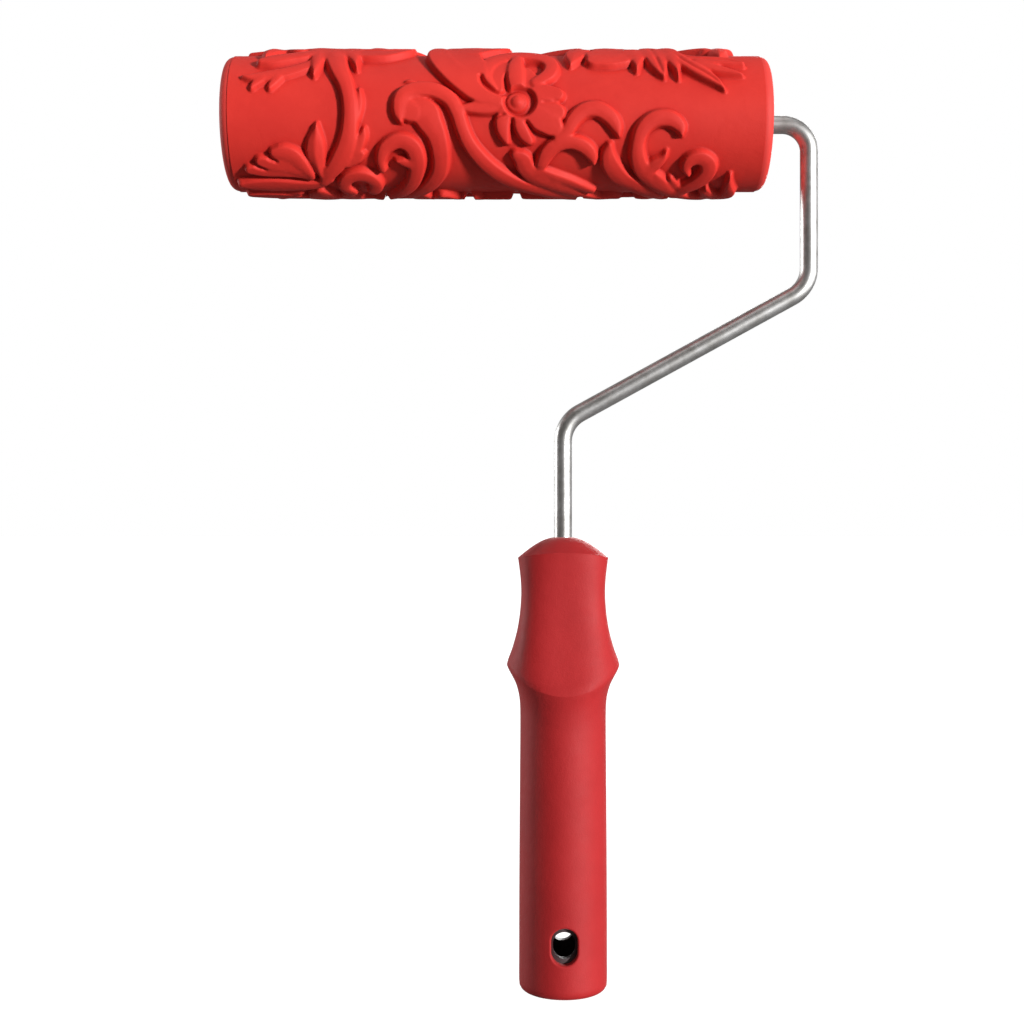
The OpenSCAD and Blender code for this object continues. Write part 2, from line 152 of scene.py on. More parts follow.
def rounded(profile, radius, steps=5):
    """A closed profile with its corners rounded by the radius each gives, or else by the common one."""
    out = []
    count = len(profile)
    for i, corner in enumerate(profile):
        here = Vector(corner[:2])
        before = Vector(profile[i - 1][:2])
        after = Vector(profile[(i + 1) % count][:2])
        wanted = corner[2] if len(corner) > 2 else radius
        reach = min(wanted, (before - here).length * 0.45, (after - here).length * 0.45)
        if reach < 1e-6:
            out.append(tuple(here))
            continue
        start = here + (before - here).normalized() * reach
        end = here + (after - here).normalized() * reach
        for s in range(steps + 1):
            t = s / steps
            point = start * (1 - t) ** 2 + here * 2 * t * (1 - t) + end * t * t
            out.append((max(point.x, 0.0), point.y))
    return out


def curve_through(points, step):
    """Points spaced about a step apart on a smooth curve (Catmull-Rom) through the given points."""
    pts = np.array(points, float)
    padded = np.vstack([2 * pts[0] - pts[1], pts, 2 * pts[-1] - pts[-2]])
    out = []
    for i in range(1, len(padded) - 2):
        p0, p1, p2, p3 = padded[i - 1: i + 3]
        count = max(2, int(np.linalg.norm((p2 - p1)[:2]) / step))
        t = np.linspace(0, 1, count, endpoint=False)[:, None]
        out.append(0.5 * (2 * p1 + (p2 - p0) * t + (2 * p0 - 5 * p1 + 4 * p2 - p3) * t ** 2
                          + (3 * p1 - p0 - 3 * p2 + p3) * t ** 3))
    return np.vstack(out + [pts[-1:]])


# ---------------------------------------- the raised pattern

# How a stroke's top falls from its middle to its edges: share of the height, and power
FORMS = {"flat": (0.03, 2.0), "crown": (0.12, 2.0), "ridge": (0.15, 1.5), "blade": (0.34, 1.1)}
WALL_RUN = 0.42
SHOULDER_RUN = 0.36
SHOULDER_DROP = 0.28
VEIN_DEPTH = 0.75
VEIN_RUN = 0.42
FILLET = 0.45
BUTTON_R = 2.0
DISC_R = 3.4
DISC_H = 1.5
DISH_R = 4.9


def merged(first, second):
    """The greater height, with a fillet where two raised surfaces meet."""
    fillet = FILLET * np.clip(np.minimum(first, second) / 1.5, 0, 1) + 1e-6
    mix = np.clip(0.5 + 0.5 * (first - second) / fillet, 0, 1)
    return second + (first - second) * mix + fillet * mix * (1 - mix)


class Relief:
    """Height of the pattern over the sleeve, on a grid of places along it and turns about it."""

    def __init__(self, along, about):
        self.x = np.linspace(-SLEEVE_LEN / 2, SLEEVE_LEN / 2, along + 1)
        self.angle = np.arange(about) * 360 / about - 180
        self.height = np.zeros((along + 1, about))

    def near(self, points, turn):
        """Grid places near a stroke: how far each is outside, across and along it, and its half width."""
        pts = np.array(points, float) + [0, turn, 0]
        margin = pts[:, 2].max() + 1.5
        rows = np.nonzero((self.x >= pts[:, 0].min() - margin) & (self.x <= pts[:, 0].max() + margin))[0]
        low, high = pts[:, 1].min(), pts[:, 1].max()
        around = (self.angle - (low + high) / 2 + 180) % 360 - 180 + (low + high) / 2
        reach = margin / MM_PER_DEGREE
        columns = np.nonzero((around >= low - reach) & (around <= high + reach))[0]
        gx, gy = np.meshgrid(self.x[rows], around[columns] * MM_PER_DEGREE, indexing="ij")
        line = curve_through(pts * [1, MM_PER_DEGREE, 1], 0.8)
        line[:, 2] = np.maximum(line[:, 2], 0.2)
        outside = np.full(gx.shape, 1e9)
        across, half, run = np.zeros(gx.shape), np.ones(gx.shape), np.zeros(gx.shape)
        for k, ((ax, ay, aw), (bx, by, bw)) in enumerate(zip(line, line[1:])):
            dx, dy = bx - ax, by - ay
            t = np.clip(((gx - ax) * dx + (gy - ay) * dy) / max(dx * dx + dy * dy, 1e-9), 0, 1)
            px, py = gx - ax - t * dx, gy - ay - t * dy
            width = aw + (bw - aw) * t
            away = np.hypot(px, py)
            closer = away - width < outside
            outside = np.where(closer, away - width, outside)
            across = np.where(closer, np.where(dx * py - dy * px > 0, away, -away), across)
            half = np.where(closer, width, half)
            run = np.where(closer, (k + t) / (len(line) - 1), run)
        return np.ix_(rows, columns), outside, across, half, run

    def raise_stroke(self, points, height, form, turn):
        """Raises a stroke of (x, angle, half width) points: steep wall, tight shoulder, shaped top."""
        patch, outside, across, half, run = self.near(points, turn)
        drop, power = FORMS[form.split("+")[0]]
        top = height * (1 - drop * np.clip(np.abs(across / half), 0, 1) ** power)
        if form.endswith("+vein"):
            fade = np.clip(np.sin(np.clip(run, 0, 1) * math.pi) * 2, 0, 1)
            top = top - VEIN_DEPTH * fade * np.exp(-(across / VEIN_RUN) ** 2)
        top = top - SHOULDER_DROP * np.clip(1 + outside / SHOULDER_RUN, 0, 1) ** 2
        edge = height * (1 - drop) - SHOULDER_DROP
        wall = edge * np.clip(1 - outside / WALL_RUN, 0, 1) ** 1.3
        self.height[patch] = merged(self.height[patch], np.where(outside < 0, top, wall))

    def carve_stroke(self, points, floor, turn):
        """Cuts a groove down to a floor height along a tapered stroke."""
        patch, outside, _, _, _ = self.near(points, turn)
        limit = floor + np.clip(outside / WALL_RUN, 0, None) * RELIEF_H
        self.height[patch] = np.minimum(self.height[patch], limit)


def arc(x, angle, radius, start, end, width, steps=9):
    """Points of a curl about a centre, from one turn to another; width is (start, middle, end)."""
    out = []
    for i in range(steps + 1):
        t = i / steps
        turn = math.radians(start + (end - start) * t)
        half = np.interp(t, (0, 0.5, 1), width)
        out.append((x + radius * math.cos(turn), angle + radius * math.sin(turn) / MM_PER_DEGREE, half))
    return out


# Each stroke is (points, height, form); a point is (x from the middle, angle above the front, half width)
LEFT_SPRAY = [
    # Main stem with the tips that leave it
    ([(-54, 62, 3.4), (-52.4, 46, 3.4), (-50.8, 32, 3.0), (-48.4, 17, 2.5), (-47.2, 2, 2.3),
      (-47.2, -14, 2.5), (-48.4, -28, 2.8), (-51, -42, 3.0), (-55, -56, 2.4), (-57, -64, 1.6)],
      2.6, "ridge"),
    ([(-44.2, 15, 0.4), (-44, 8, 1.0), (-44.4, 0, 1.5), (-45.8, -10, 1.8)], 1.7, "crown"),
    ([(-42.6, -17, 0.5), (-43.4, -24, 1.5), (-45.8, -34, 2.2)], 1.9, "crown"),
    ([(-43.4, -37, 0.9), (-45.2, -41, 1.8), (-48.6, -45, 2.0)], 2.1, "crown"),
    # Ridged blade
    ([(-57.9, -12.6, 0.3), (-58.1, -19, 1.4), (-58.6, -28, 2.8), (-58.8, -37, 3.1), (-58.3, -46, 2.3),
      (-57.6, -57, 1.0)], 2.6, "blade"),
    # Fan of lobes
    ([(-72, -36, 1.7), (-69, -35.6, 2.5), (-65.8, -38.6, 2.5), (-63.4, -46, 2.1), (-61, -55, 1.4)],
      2.6, "crown"),
    ([(-76.8, -43.6, 1.8), (-73, -45.4, 2.4), (-68.6, -47, 2.6), (-64, -52, 2.0), (-61, -57, 1.4)],
      2.3, "flat"),
    ([(-80.6, -51.6, 1.8), (-76, -52.4, 2.5), (-70, -52.6, 2.6), (-65, -55, 2.0), (-61, -59, 1.4)],
      2.15, "flat"),
    # Leaves under the fan
    ([(-84, -68.6, 1.8), (-79, -69, 3.0), (-72, -69.6, 3.4), (-65, -70, 2.8), (-59, -68, 2.0),
      (-55, -62, 1.4)], 2.3, "crown"),
    ([(-82, -87, 2.0), (-76, -89, 3.4), (-69, -94, 3.8), (-65, -106, 3.4)], 2.2, "flat"),
    ([(-58.8, -80, 2.2), (-58.6, -90, 4.6), (-58.2, -104, 5.2)], 2.5, "crown"),
    # Hook beside them
    (arc(-45.2, -69.5, 5.4, -40, 235, (2.2, 2.5, 2.0)), 2.6, "crown"),
    ([(-49.6, -84, 1.6), (-49.4, -94, 3.2), (-48, -106, 3.6)], 2.3, "crown"),
    ([(-58, 62, 4.0), (-52, 62, 4.6), (-47.6, 62, 3.6)], 2.3, "flat"),
    # Leaf tips above
    ([(-59, 26, 0.3), (-58.7, 34, 1.4), (-58.2, 44, 2.2), (-58.2, 58, 3.0), (-58.6, 72, 2.8)],
      2.5, "ridge"),
    ([(-45.2, 33, 0.3), (-45.8, 40, 1.0), (-46.4, 48, 2.0), (-48.4, 60, 3.0)], 2.5, "ridge"),
    ([(-76.6, 42, 1.4), (-72.6, 45, 2.6), (-67.4, 49, 2.6), (-62, 54, 2.6), (-58, 62, 2.4)],
      2.5, "crown"),
    ([(-82, 26.5, 0.6), (-79, 25.4, 1.5), (-74, 27, 2.2), (-68, 31, 2.2), (-62, 38, 2.0), (-59, 46, 1.6)],
      1.7, "crown"),
    ([(-79, 15, 0.6), (-78, 19, 1.2), (-75.6, 24, 1.4)], 1.7, "crown"),
    ([(-73.2, 14.4, 0.5), (-72.6, 18, 1.2), (-70.4, 25, 1.4)], 1.7, "crown"),
]

MIDDLE_CURLS = [
    # Low leaf inside the hook, which becomes a stem
    ([(-29, -1, 3.2), (-23.6, -4.4, 4.6), (-21.6, -12, 4.0), (-19.4, -22, 3.2), (-18.2, -36, 2.8),
      (-18.6, -52, 2.6), (-21, -66, 2.6), (-25.4, -82, 2.5), (-31, -100, 2.2), (-34, -108, 1.6)],
      2.15, "ridge"),
    ([(-29.4, 2, 2.2), (-27.6, -5, 3.2)], 2.2, "flat"),
    # Hook that turns into the long stem under the flower
    ([(-30.8, -12, 0.6), (-31.3, -6, 1.8), (-31.2, 2, 2.3), (-29.6, 9.4, 2.6), (-25.4, 13.6, 2.7),
      (-19.8, 12.4, 2.7), (-15, 5.4, 2.5), (-12.6, -5, 2.3), (-11, -17, 2.2), (-8.8, -29, 2.3),
      (-5.2, -41, 2.5), (-0.6, -53, 2.7), (5.4, -65, 2.9), (13, -77, 2.8), (21, -90, 2.6),
      (27, -101, 2.0)], 2.6, "ridge"),
    ([(-29.4, 22, 0.3), (-28, 22.2, 0.8), (-26.4, 21.4, 0.4)], 1.1, "crown"),
    # Curl to the left of them
    ([(-37.2, -51, 1.3), (-37.6, -42, 1.7), (-35.8, -32, 2.3), (-31.4, -26.6, 2.7), (-27.4, -31, 2.8),
      (-25.8, -42, 2.7), (-26.4, -55, 2.5), (-28.2, -68, 2.4), (-31.8, -82, 2.3), (-37, -98, 2.1),
      (-40, -106, 1.8)], 2.6, "ridge"),
    ([(-32.4, -43, 0.7), (-30.4, -44, 1.5), (-28.2, -46, 1.8)], 2.4, "crown"),
    # Broad ribbon that falls into the flower from above
    ([(-19, 66, 2.4), (-19.4, 54, 3.4), (-17.8, 42, 3.8), (-14.6, 30, 3.8), (-10.4, 19, 3.6),
      (-5.6, 10, 3.2), (0.6, 4.4, 1.8)], 2.5, "flat"),
]

FLOWER = [
    # Ring of ribbon round the top petal
    ([(-1.4, 13, 1.6), (-3.8, 24, 2.2), (-3, 36, 2.6), (0.6, 46, 2.8), (7, 52, 2.8), (14, 48.5, 2.6),
      (17.6, 39, 2.5), (17, 28, 2.4), (12.6, 19, 1.8)], 2.3, "crown"),
    ([(0.8, 14, 1.6), (-0.2, 25, 2.6), (2, 38, 2.4)], 1.7, "flat"),
    ([(6.8, 11, 2.0), (6.2, 22, 2.8), (6.2, 34, 2.7), (6.6, 44, 1.9)], 2.6, "crown"),
    ([(8.6, 14, 2.0), (10.6, 22, 2.8), (9.6, 31, 2.0)], 1.6, "flat"),
    # Left petal
    ([(-12.4, -1.4, 0.7), (-8.4, -1.4, 1.8), (-3.4, -0.6, 2.6), (2, 2, 2.8)], 2.2, "crown"),
    # Lower petals
    ([(3.4, -4, 2.4), (2, -12, 2.5), (2.3, -20, 2.0), (3.4, -27.4, 1.1)], 2.4, "crown"),
    ([(6.4, -5, 2.2), (7.6, -15, 2.1), (9.2, -22, 2.2), (10.6, -27, 1.4)], 2.5, "crown"),
    ([(9.2, -3, 2.6), (13.8, -10, 3.7), (17.6, -14.6, 3.6)], 2.4, "flat"),
    # Right petals
    ([(10.4, 0, 2.8), (15.6, -2.6, 3.8), (19.2, -5, 3.0)], 2.3, "flat"),
    ([(10.6, 7, 2.8), (15.4, 9.4, 3.4), (19.4, 9, 2.4)], 2.2, "flat"),
]

# Grooves between petals and between the fan's lobes: (points, height of the groove's floor)
GROOVES = [
    ([(4.9, -10, 0.1), (5, -18, 0.5), (5.6, -30, 1.1)], 0.4),
    ([(9.6, -12, 0.1), (11.4, -18.6, 0.5), (13.8, -28, 1.0)], 0.4),
    ([(-0.8, -10.6, 0.1), (0.4, -8, 0.2), (2.4, -6.4, 0.1)], 1.3),
    ([(19.6, 3.2, 0.35), (17, 2.8, 0.15), (15, 2.6, 0.1)], 1.5),
    ([(-5.2, 25, 0.3), (-4, 18, 0.6), (-1.4, 12.4, 0.5), (2, 8, 0.2)], 0.7),
    ([(-75, -36.4, 0.2), (-73.8, -40.4, 0.45), (-71.6, -43, 0.1)], 0.9),
    ([(-79.4, -43.6, 0.2), (-78.2, -47.6, 0.45), (-75.6, -50.4, 0.1)], 0.9),
]

RIGHT_SCROLLS = [
    # Upper scroll
    ([(19.6, -24.6, 1.4), (22.8, -19, 2.0), (24.9, -10.6, 2.4), (28.4, -3.4, 2.6), (32.6, -2.4, 2.7),
      (36.4, -8, 2.5), (38.6, -15.6, 1.9), (39.6, -23.4, 0.4)], 2.4, "ridge"),
    # Lower scroll
    ([(14.6, -46, 2.0), (16.6, -36, 2.5), (20, -29.4, 2.5), (24.6, -27.8, 2.4), (28.8, -32, 2.4),
      (31, -39, 1.8), (31.8, -46.4, 0.4)], 2.5, "ridge"),
    # Stem under them, with a bud at its head
    ([(6.4, -38, 1.8), (8.4, -42, 2.8), (9.6, -50, 3.0), (12.8, -60, 3.0), (18.4, -70, 3.2),
      (25, -82, 3.0), (31, -95, 2.6), (38, -110, 2.0)], 2.4, "ridge"),
    ([(13.6, -52, 1.6), (18, -58, 2.0), (24, -66, 2.2), (31, -78, 2.0)], 2.2, "crown"),
    # Stem between the scrolls
    ([(36.6, -30, 1.0), (36.2, -38, 2.2), (37.4, -48, 3.0), (40.6, -60, 3.2), (46, -72, 3.1),
      (51, -86, 2.9), (54, -102, 2.6), (54, -116, 2.0)], 2.2, "ridge"),
    # Large open scroll
    ([(59.8, -23, 0.4), (59.2, -16, 1.9), (56, -10, 2.7), (51.4, -9.8, 2.8), (47.6, -16.4, 2.5),
      (45.8, -27, 2.2), (45.8, -39, 2.5), (47.8, -52, 2.9), (51.8, -65, 2.8), (57, -79, 2.7),
      (64, -94, 2.4), (69, -104, 2.0)], 2.6, "ridge"),
    ([(55.2, -35, 0.3), (54, -41, 1.3), (51.4, -47, 2.2), (49, -54, 1.6)], 2.5, "ridge"),
    # Closed curl at the right end
    ([(63, -56.5, 0.7), (61.8, -50, 1.5), (63, -43, 2.2), (66.2, -40.6, 2.6), (69, -45.5, 2.7),
      (69, -55, 2.7), (66.4, -65, 2.7), (62, -76, 2.5), (59, -88, 2.0)], 2.6, "ridge"),
    ([(52.2, -55, 0.8), (53.6, -62, 1.8), (56, -72, 2.0)], 2.4, "crown"),
    ([(57.2, -60, 0.8), (58.2, -67, 1.6), (59.6, -76, 2.0)], 2.0, "crown"),
    # Leaves at the lower right
    ([(76.8, -57, 0.3), (76.6, -64, 1.0), (77, -72, 1.5), (77.6, -82, 2.2), (76.4, -94, 2.6),
      (74, -106, 2.4)], 2.4, "crown"),
    ([(69.6, -74, 0.5), (70.4, -84, 2.0), (70.6, -95, 2.6), (70, -106, 2.6)], 2.2, "crown"),
]

TOP_LEAVES = [
    ([(24, 38, 0.5), (24.8, 46, 2.0), (25.6, 55, 3.4), (27.4, 70, 3.8)], 2.2, "ridge"),
    # Broad plain leaf
    ([(32.2, 44.6, 3.2), (37, 45, 3.4), (41, 46.4, 3.0)], 2.3, "flat"),
    ([(34.2, 52, 5.2), (37, 60, 6.0), (37, 74, 5.0)], 2.3, "flat"),
    ([(44.6, 56, 4.0), (50, 57, 4.6), (55, 56, 4.0)], 2.3, "flat"),
    # Tips that leave it to the right
    ([(45.4, 31, 0.3), (45.6, 38, 1.2), (45.4, 47, 2.4), (44, 60, 3.4)], 2.5, "ridge"),
    ([(54.2, 24.6, 0.3), (53.2, 32, 1.9), (52.2, 42, 3.0), (51, 56, 3.6), (50, 70, 3.4)],
      2.5, "crown+vein"),
    ([(58.8, 23, 0.2), (58.4, 32, 0.9), (57.4, 43, 2.0), (56.6, 56, 2.8), (56, 70, 2.8)], 2.6, "ridge"),
    ([(73.6, 13, 0.2), (71, 20, 1.3), (67, 28, 2.1), (62.6, 37, 2.3), (59, 48, 2.2), (57, 62, 2.2)],
      2.6, "crown+vein"),
    ([(79.6, 27.6, 0.3), (75.6, 30.4, 1.2), (70.6, 34.4, 1.8), (65.6, 41, 1.8)], 2.2, "crown"),
    ([(80, 39.4, 0.6), (75, 42.4, 1.9), (69.6, 44, 2.0), (64, 46.4, 1.4), (59.6, 51.6, 1.4),
      (57.6, 60, 1.6)], 2.5, "crown+vein"),
]

# Broad leaves over the roller's crest, where one side's stems run into the other side's leaves
CREST = [
    ([(-75.6, 50, 0.5), (-75, 60, 2.2), (-73.8, 74, 3.1), (-71, 88, 2.8), (-66, 98, 1.8)], 2.4, "blade"),
    ([(-27.4, 73, 0.8), (-31.6, 66, 3.6), (-37.6, 61, 5.4), (-45, 64, 6.2), (-53, 76, 5.0),
      (-58, 90, 2.8)], 2.3, "flat+vein"),
    ([(4.6, 84, 0.6), (1, 76, 3.2), (-3.6, 70, 4.6), (-8, 62, 5.0)], 2.5, "flat+vein"),
    ([(-8.6, 78, 3.6), (-11, 64, 5.8), (-10.6, 50, 5.6), (-8.4, 38, 4.6), (-5.4, 26, 2.6)], 2.45, "flat"),
    ([(72.8, 49, 0.5), (73, 60, 2.3), (73, 74, 3.3), (72, 88, 2.8), (69, 100, 1.8)], 2.4, "blade"),
]

# Leaves along the lower edge that are there once only, and the notches that part them
UNDERSIDE_LEAVES = [
    ([(-24, -90, 1.6), (-24.6, -100, 3.2), (-25, -112, 3.6)], 2.4, "flat"),
    ([(-18.4, -90, 1.6), (-17.6, -100, 4.6), (-17.4, -112, 5.2)], 2.4, "flat"),
    ([(10, -96, 2.0), (15, -103, 4.0), (21, -106, 4.4), (24.6, -106, 2.6)], 2.4, "flat"),
]
UNDERSIDE_NOTCHES = [
    ([(-37.4, -84, 0.1), (-37.4, -96, 0.5), (-37.4, -114, 0.7)], 0.5),
    ([(-9.4, -78, 0.3), (-9.4, -90, 0.9), (-9.4, -114, 1.2)], 0.3),
    ([(28, -90, 0.2), (28, -100, 0.6), (28, -114, 0.8)], 0.3),
]


def flower_middle(relief, x, angle, turn):
    """Round button on a low disc, in an off-centre dish that the petals end at."""
    around = ((relief.angle - angle - turn + 180) % 360 - 180)[None, :] * MM_PER_DEGREE
    along = relief.x[:, None] - x
    from_dish = np.hypot(along - 0.9, around - 0.2)
    limit = 0.3 + np.clip((from_dish - DISH_R) / 0.5, 0, None) * RELIEF_H
    relief.height = np.minimum(relief.height, np.where(from_dish < DISH_R + 2, limit, RELIEF_H))
    away = np.hypot(along, around)
    disc = DISC_H * np.clip((DISC_R + 0.5 - away) / 0.7, 0, 1)
    dome = RELIEF_H * (1 - 0.3 * np.clip(away / BUTTON_R, 0, 1) ** 2)
    dome = dome * np.clip((BUTTON_R + 0.4 - away) / 0.5, 0, 1)
    relief.height = np.maximum(relief.height, np.maximum(disc, dome))


def draw_pattern(along, about):
    """Both sides of the pattern, half a turn apart."""
    relief = Relief(along, about)
    for turn in (0, 180):
        for points, height, form in LEFT_SPRAY + MIDDLE_CURLS + FLOWER + RIGHT_SCROLLS + TOP_LEAVES + CREST:
            relief.raise_stroke(points, height, form, turn)
    for turn in (0, 180):
        for points, floor in GROOVES:
            relief.carve_stroke(points, floor, turn)
        flower_middle(relief, 6.6, 3, turn)
    for points, height, form in UNDERSIDE_LEAVES:
        relief.raise_stroke(points, height, form, 0)
    for points, floor in UNDERSIDE_NOTCHES:
        relief.carve_stroke(points, floor, 0)
    return relief


def soften(height, rounds):
    """Averages each height with its neighbours, so that walls and creases get a moulded softness."""
    for _ in range(rounds):
        along = np.vstack([height[:1], height, height[-1:]])
        height = 0.5 * height + 0.25 * (along[:-2] + along[2:])
        height = 0.5 * height + 0.25 * (np.roll(height, 1, axis=1) + np.roll(height, -1, axis=1))
    return height


# The grid has 8 steps to its widest cells, both along the sleeve and about it
CELL_SIZES = 3
GRID_ALONG = 58 * 2 ** CELL_SIZES
GRID_ABOUT = 49 * 2 ** CELL_SIZES
FLATNESS = 0.04
SOFTEN_ROUNDS = 1
END_MARGIN = 0.3
END_FADE = 1.2
# Painted shade: the blur width and the recess depth that set how strongly the sleeve's colour is darkened in
# its recesses
PAINTED_SHADE_SPREAD = 3.6
PAINTED_SHADE_DEPTH = 1.1


def blurred(height, spread_cells):
    """The heights averaged over their surroundings by a bell curve of this width."""
    waves_x = np.fft.fftfreq(height.shape[0])[:, None]
    waves_turn = np.fft.rfftfreq(height.shape[1])[None, :]
    bell = np.exp(-2 * (math.pi * spread_cells) ** 2 * (waves_x ** 2 + waves_turn ** 2))
    return np.fft.irfft2(np.fft.rfft2(height) * bell, s=height.shape)


def cells_to_split(radius):
    """Which cells of 1, 2, 4 and 8 grid steps split in four: uneven ones and those beside far finer ones."""
    rows, columns = radius.shape[0] - 1, radius.shape[1]
    wrapped = np.concatenate([radius, radius[:, :1]], axis=1)
    splits = [np.zeros((rows, columns), bool)]
    for level in range(1, CELL_SIZES + 1):
        n = 2 ** level
        corner = wrapped[::n, ::n]
        error = np.zeros((rows // n, columns // n))
        for i in range(n + 1):
            for k in range(n + 1):
                u, v = i / n, k / n
                flat = ((corner[:-1, :-1] * (1 - u) + corner[1:, :-1] * u) * (1 - v)
                        + (corner[:-1, 1:] * (1 - u) + corner[1:, 1:] * u) * v)
                there = wrapped[i:rows - n + i + 1:n, k:columns - n + k + 1:n]
                error = np.maximum(error, np.abs(there - flat))
        grown = splits[-1] | np.roll(splits[-1], 1, 1) | np.roll(splits[-1], -1, 1)
        padded = np.pad(grown, ((1, 1), (0, 0)))
        grown = padded[:-2] | padded[1:-1] | padded[2:]
        near_finer = grown.reshape(rows // n, 2, columns // n, 2).any(axis=(1, 3))
        splits.append((error > FLATNESS) | near_finer)
    return splits


def cell_faces(splits, columns):
    """Faces over the cells that aren't split: quads, or fans about the middle where a neighbour is finer."""
    faces = []
    for level, split in enumerate(splits):
        n = 2 ** level
        inside = np.ones(split.shape, bool)
        if level < CELL_SIZES:
            inside = splits[level + 1].repeat(2, axis=0).repeat(2, axis=1)
        rows, turns = np.nonzero(inside & ~split)
        padded = np.pad(split, ((1, 1), (0, 0)))
        finer = [padded[:-2][rows, turns], np.roll(split, -1, 1)[rows, turns],
                 padded[2:][rows, turns], np.roll(split, 1, 1)[rows, turns]]
        pattern = sum(side.astype(int) << bit for bit, side in enumerate(finer))
        corners = [(0, 0), (0, n), (n, n), (n, 0)]
        for kind in np.unique(pattern):
            i, k = rows[pattern == kind] * n, turns[pattern == kind] * n
            ring = []
            for side, corner in enumerate(corners):
                ring.append(corner)
                if kind >> side & 1:
                    following = corners[(side + 1) % 4]
                    ring.append(((corner[0] + following[0]) // 2, (corner[1] + following[1]) // 2))
            ids = [(i + di) * columns + (k + dk) % columns for di, dk in ring]
            if kind == 0:
                faces += np.stack(ids, axis=1).tolist()
                continue
            middle = (i + n // 2) * columns + k + n // 2
            for first, second in zip(ids, ids[1:] + ids[:1]):
                faces += np.stack([middle, first, second], axis=1).tolist()
    return faces


def make_sleeve():
    """Rubber sleeve: relief outside, smooth bore inside, closed at both ends by flat rings."""
    relief = draw_pattern(GRID_ALONG, GRID_ABOUT)
    end_fade = np.clip((SLEEVE_LEN / 2 - END_MARGIN - np.abs(relief.x)) / END_FADE, 0, 1)
    height = soften(relief.height, SOFTEN_ROUNDS) * end_fade[:, None]
    radius = SLEEVE_R + height
    turn = np.radians(relief.angle)[None, :]
    along = np.repeat((ROLLER_X + relief.x)[:, None], GRID_ABOUT, axis=1)
    points = np.stack([along, -radius * np.cos(turn), AXLE_Z + radius * np.sin(turn)], axis=-1)
    slope_x = np.gradient(radius, relief.x, axis=0)
    slope_turn = (np.roll(radius, -1, 1) - np.roll(radius, 1, 1)) * GRID_ABOUT / (4 * math.pi) / radius
    normals = np.stack([-slope_x, -np.cos(turn) - slope_turn * np.sin(turn),
                        np.sin(turn) - slope_turn * np.cos(turn)], axis=-1)
    normals = (normals / np.linalg.norm(normals, axis=-1, keepdims=True)).reshape(-1, 3)
    # Painted shade: how far each point lies below its blurred surroundings, stored on the sleeve to darken
    # its colour in the recesses
    painted_shade = np.clip((blurred(height, PAINTED_SHADE_SPREAD) - height) / PAINTED_SHADE_DEPTH, 0, 1).ravel()
    faces = cell_faces(cells_to_split(radius), GRID_ABOUT)
    used = np.zeros(radius.size, bool)
    used[np.concatenate([np.array(face) for face in faces])] = True
    new_id = np.cumsum(used) - 1
    faces = [new_id[face[:1] + face[:0:-1]].tolist() for face in faces]
    shape = radius.shape
    bore_points, bore_faces = close_sleeve(new_id.reshape(shape), used.reshape(shape), relief.angle)
    outer_points = points.reshape(-1, 3)[used]
    sleeve = new_object("scroll_sleeve", np.concatenate([outer_points, bore_points]), faces + bore_faces)
    shade = sleeve.data.attributes.new("painted_shade", "FLOAT", "POINT")
    painted_shade = np.concatenate([painted_shade[used], np.zeros(len(bore_points))])
    shade.data.foreach_set("value", painted_shade.astype(np.float32))
    shade_sleeve(sleeve, normals[used])
    return sleeve


def close_sleeve(ids, used, angles):
    """Points and faces of the bore and the flat end rings, which join the outer surface's two rims."""
    rims = [np.nonzero(used[row])[0].tolist() for row in (0, -1)]
    columns = sorted(set(rims[0] + rims[1]))
    count = len(columns)
    turn = np.radians(angles[columns])
    points = [np.stack([np.full(count, ROLLER_X + end * SLEEVE_LEN / 2), -TUBE_R * np.cos(turn),
                        AXLE_Z + TUBE_R * np.sin(turn)], axis=1) for end in (-1, 1)]
    left, right = [used.sum() + side * count + np.arange(count + 1) % count for side in (0, 1)]
    faces = [[left[k], left[k + 1], right[k + 1], right[k]] for k in range(count)]
    for row, rim, inner in ((0, rims[0], left), (-1, rims[1], right)):
        for start, end in zip(rim, rim[1:] + rim[:1]):
            first, last = columns.index(start), columns.index(end) or count
            face = [ids[row, start], ids[row, end], *inner[first:last + 1][::-1]]
            faces.append(face if row == 0 else face[::-1])
    return np.concatenate(points), [[int(i) for i in face] for face in faces]


def shade_sleeve(sleeve, outer_normals):
    """Shades the outer surface by the height's own slopes, and the end rings and bore by their faces."""
    mesh = sleeve.data
    corner_vertex = np.empty(len(mesh.loops), int)
    mesh.loops.foreach_get("vertex_index", corner_vertex)
    counts = np.empty(len(mesh.polygons), int)
    mesh.polygons.foreach_get("loop_total", counts)
    starts = np.concatenate([[0], np.cumsum(counts)[:-1]])
    face_normals = np.empty(len(mesh.polygons) * 3)
    mesh.polygons.foreach_get("normal", face_normals)
    normals = np.repeat(face_normals.reshape(-1, 3), counts, axis=0)
    # The outer surface's points come first; a face is on it when all its corners are
    on_outside = corner_vertex < len(outer_normals)
    on_outside = np.repeat(np.logical_and.reduceat(on_outside, starts), counts)
    normals[on_outside] = outer_normals[corner_vertex[on_outside]]
    mesh.normals_split_custom_set(normals.tolist())


# ---------------------------------------- materials

def material(name):
    """An empty node material and its parts: material, nodes, links and the main shader."""
    mat = bpy.data.materials.new(name)
    mat.use_nodes = True
    tree = mat.node_tree
    return mat, tree.nodes, tree.links, tree.nodes["Principled BSDF"]


def noise(tree_nodes, links, scale, detail=4, roughness=0.55):
    """Noise over the object's own coordinates, at a scale per metre."""
    coords = tree_nodes.new("ShaderNodeTexCoord")
    tex = tree_nodes.new("ShaderNodeTexNoise")
    tex.inputs["Scale"].default_value = scale
    tex.inputs["Detail"].default_value = detail
    tex.inputs["Roughness"].default_value = roughness
    links.new(coords.outputs["Object"], tex.inputs["Vector"])
    return tex


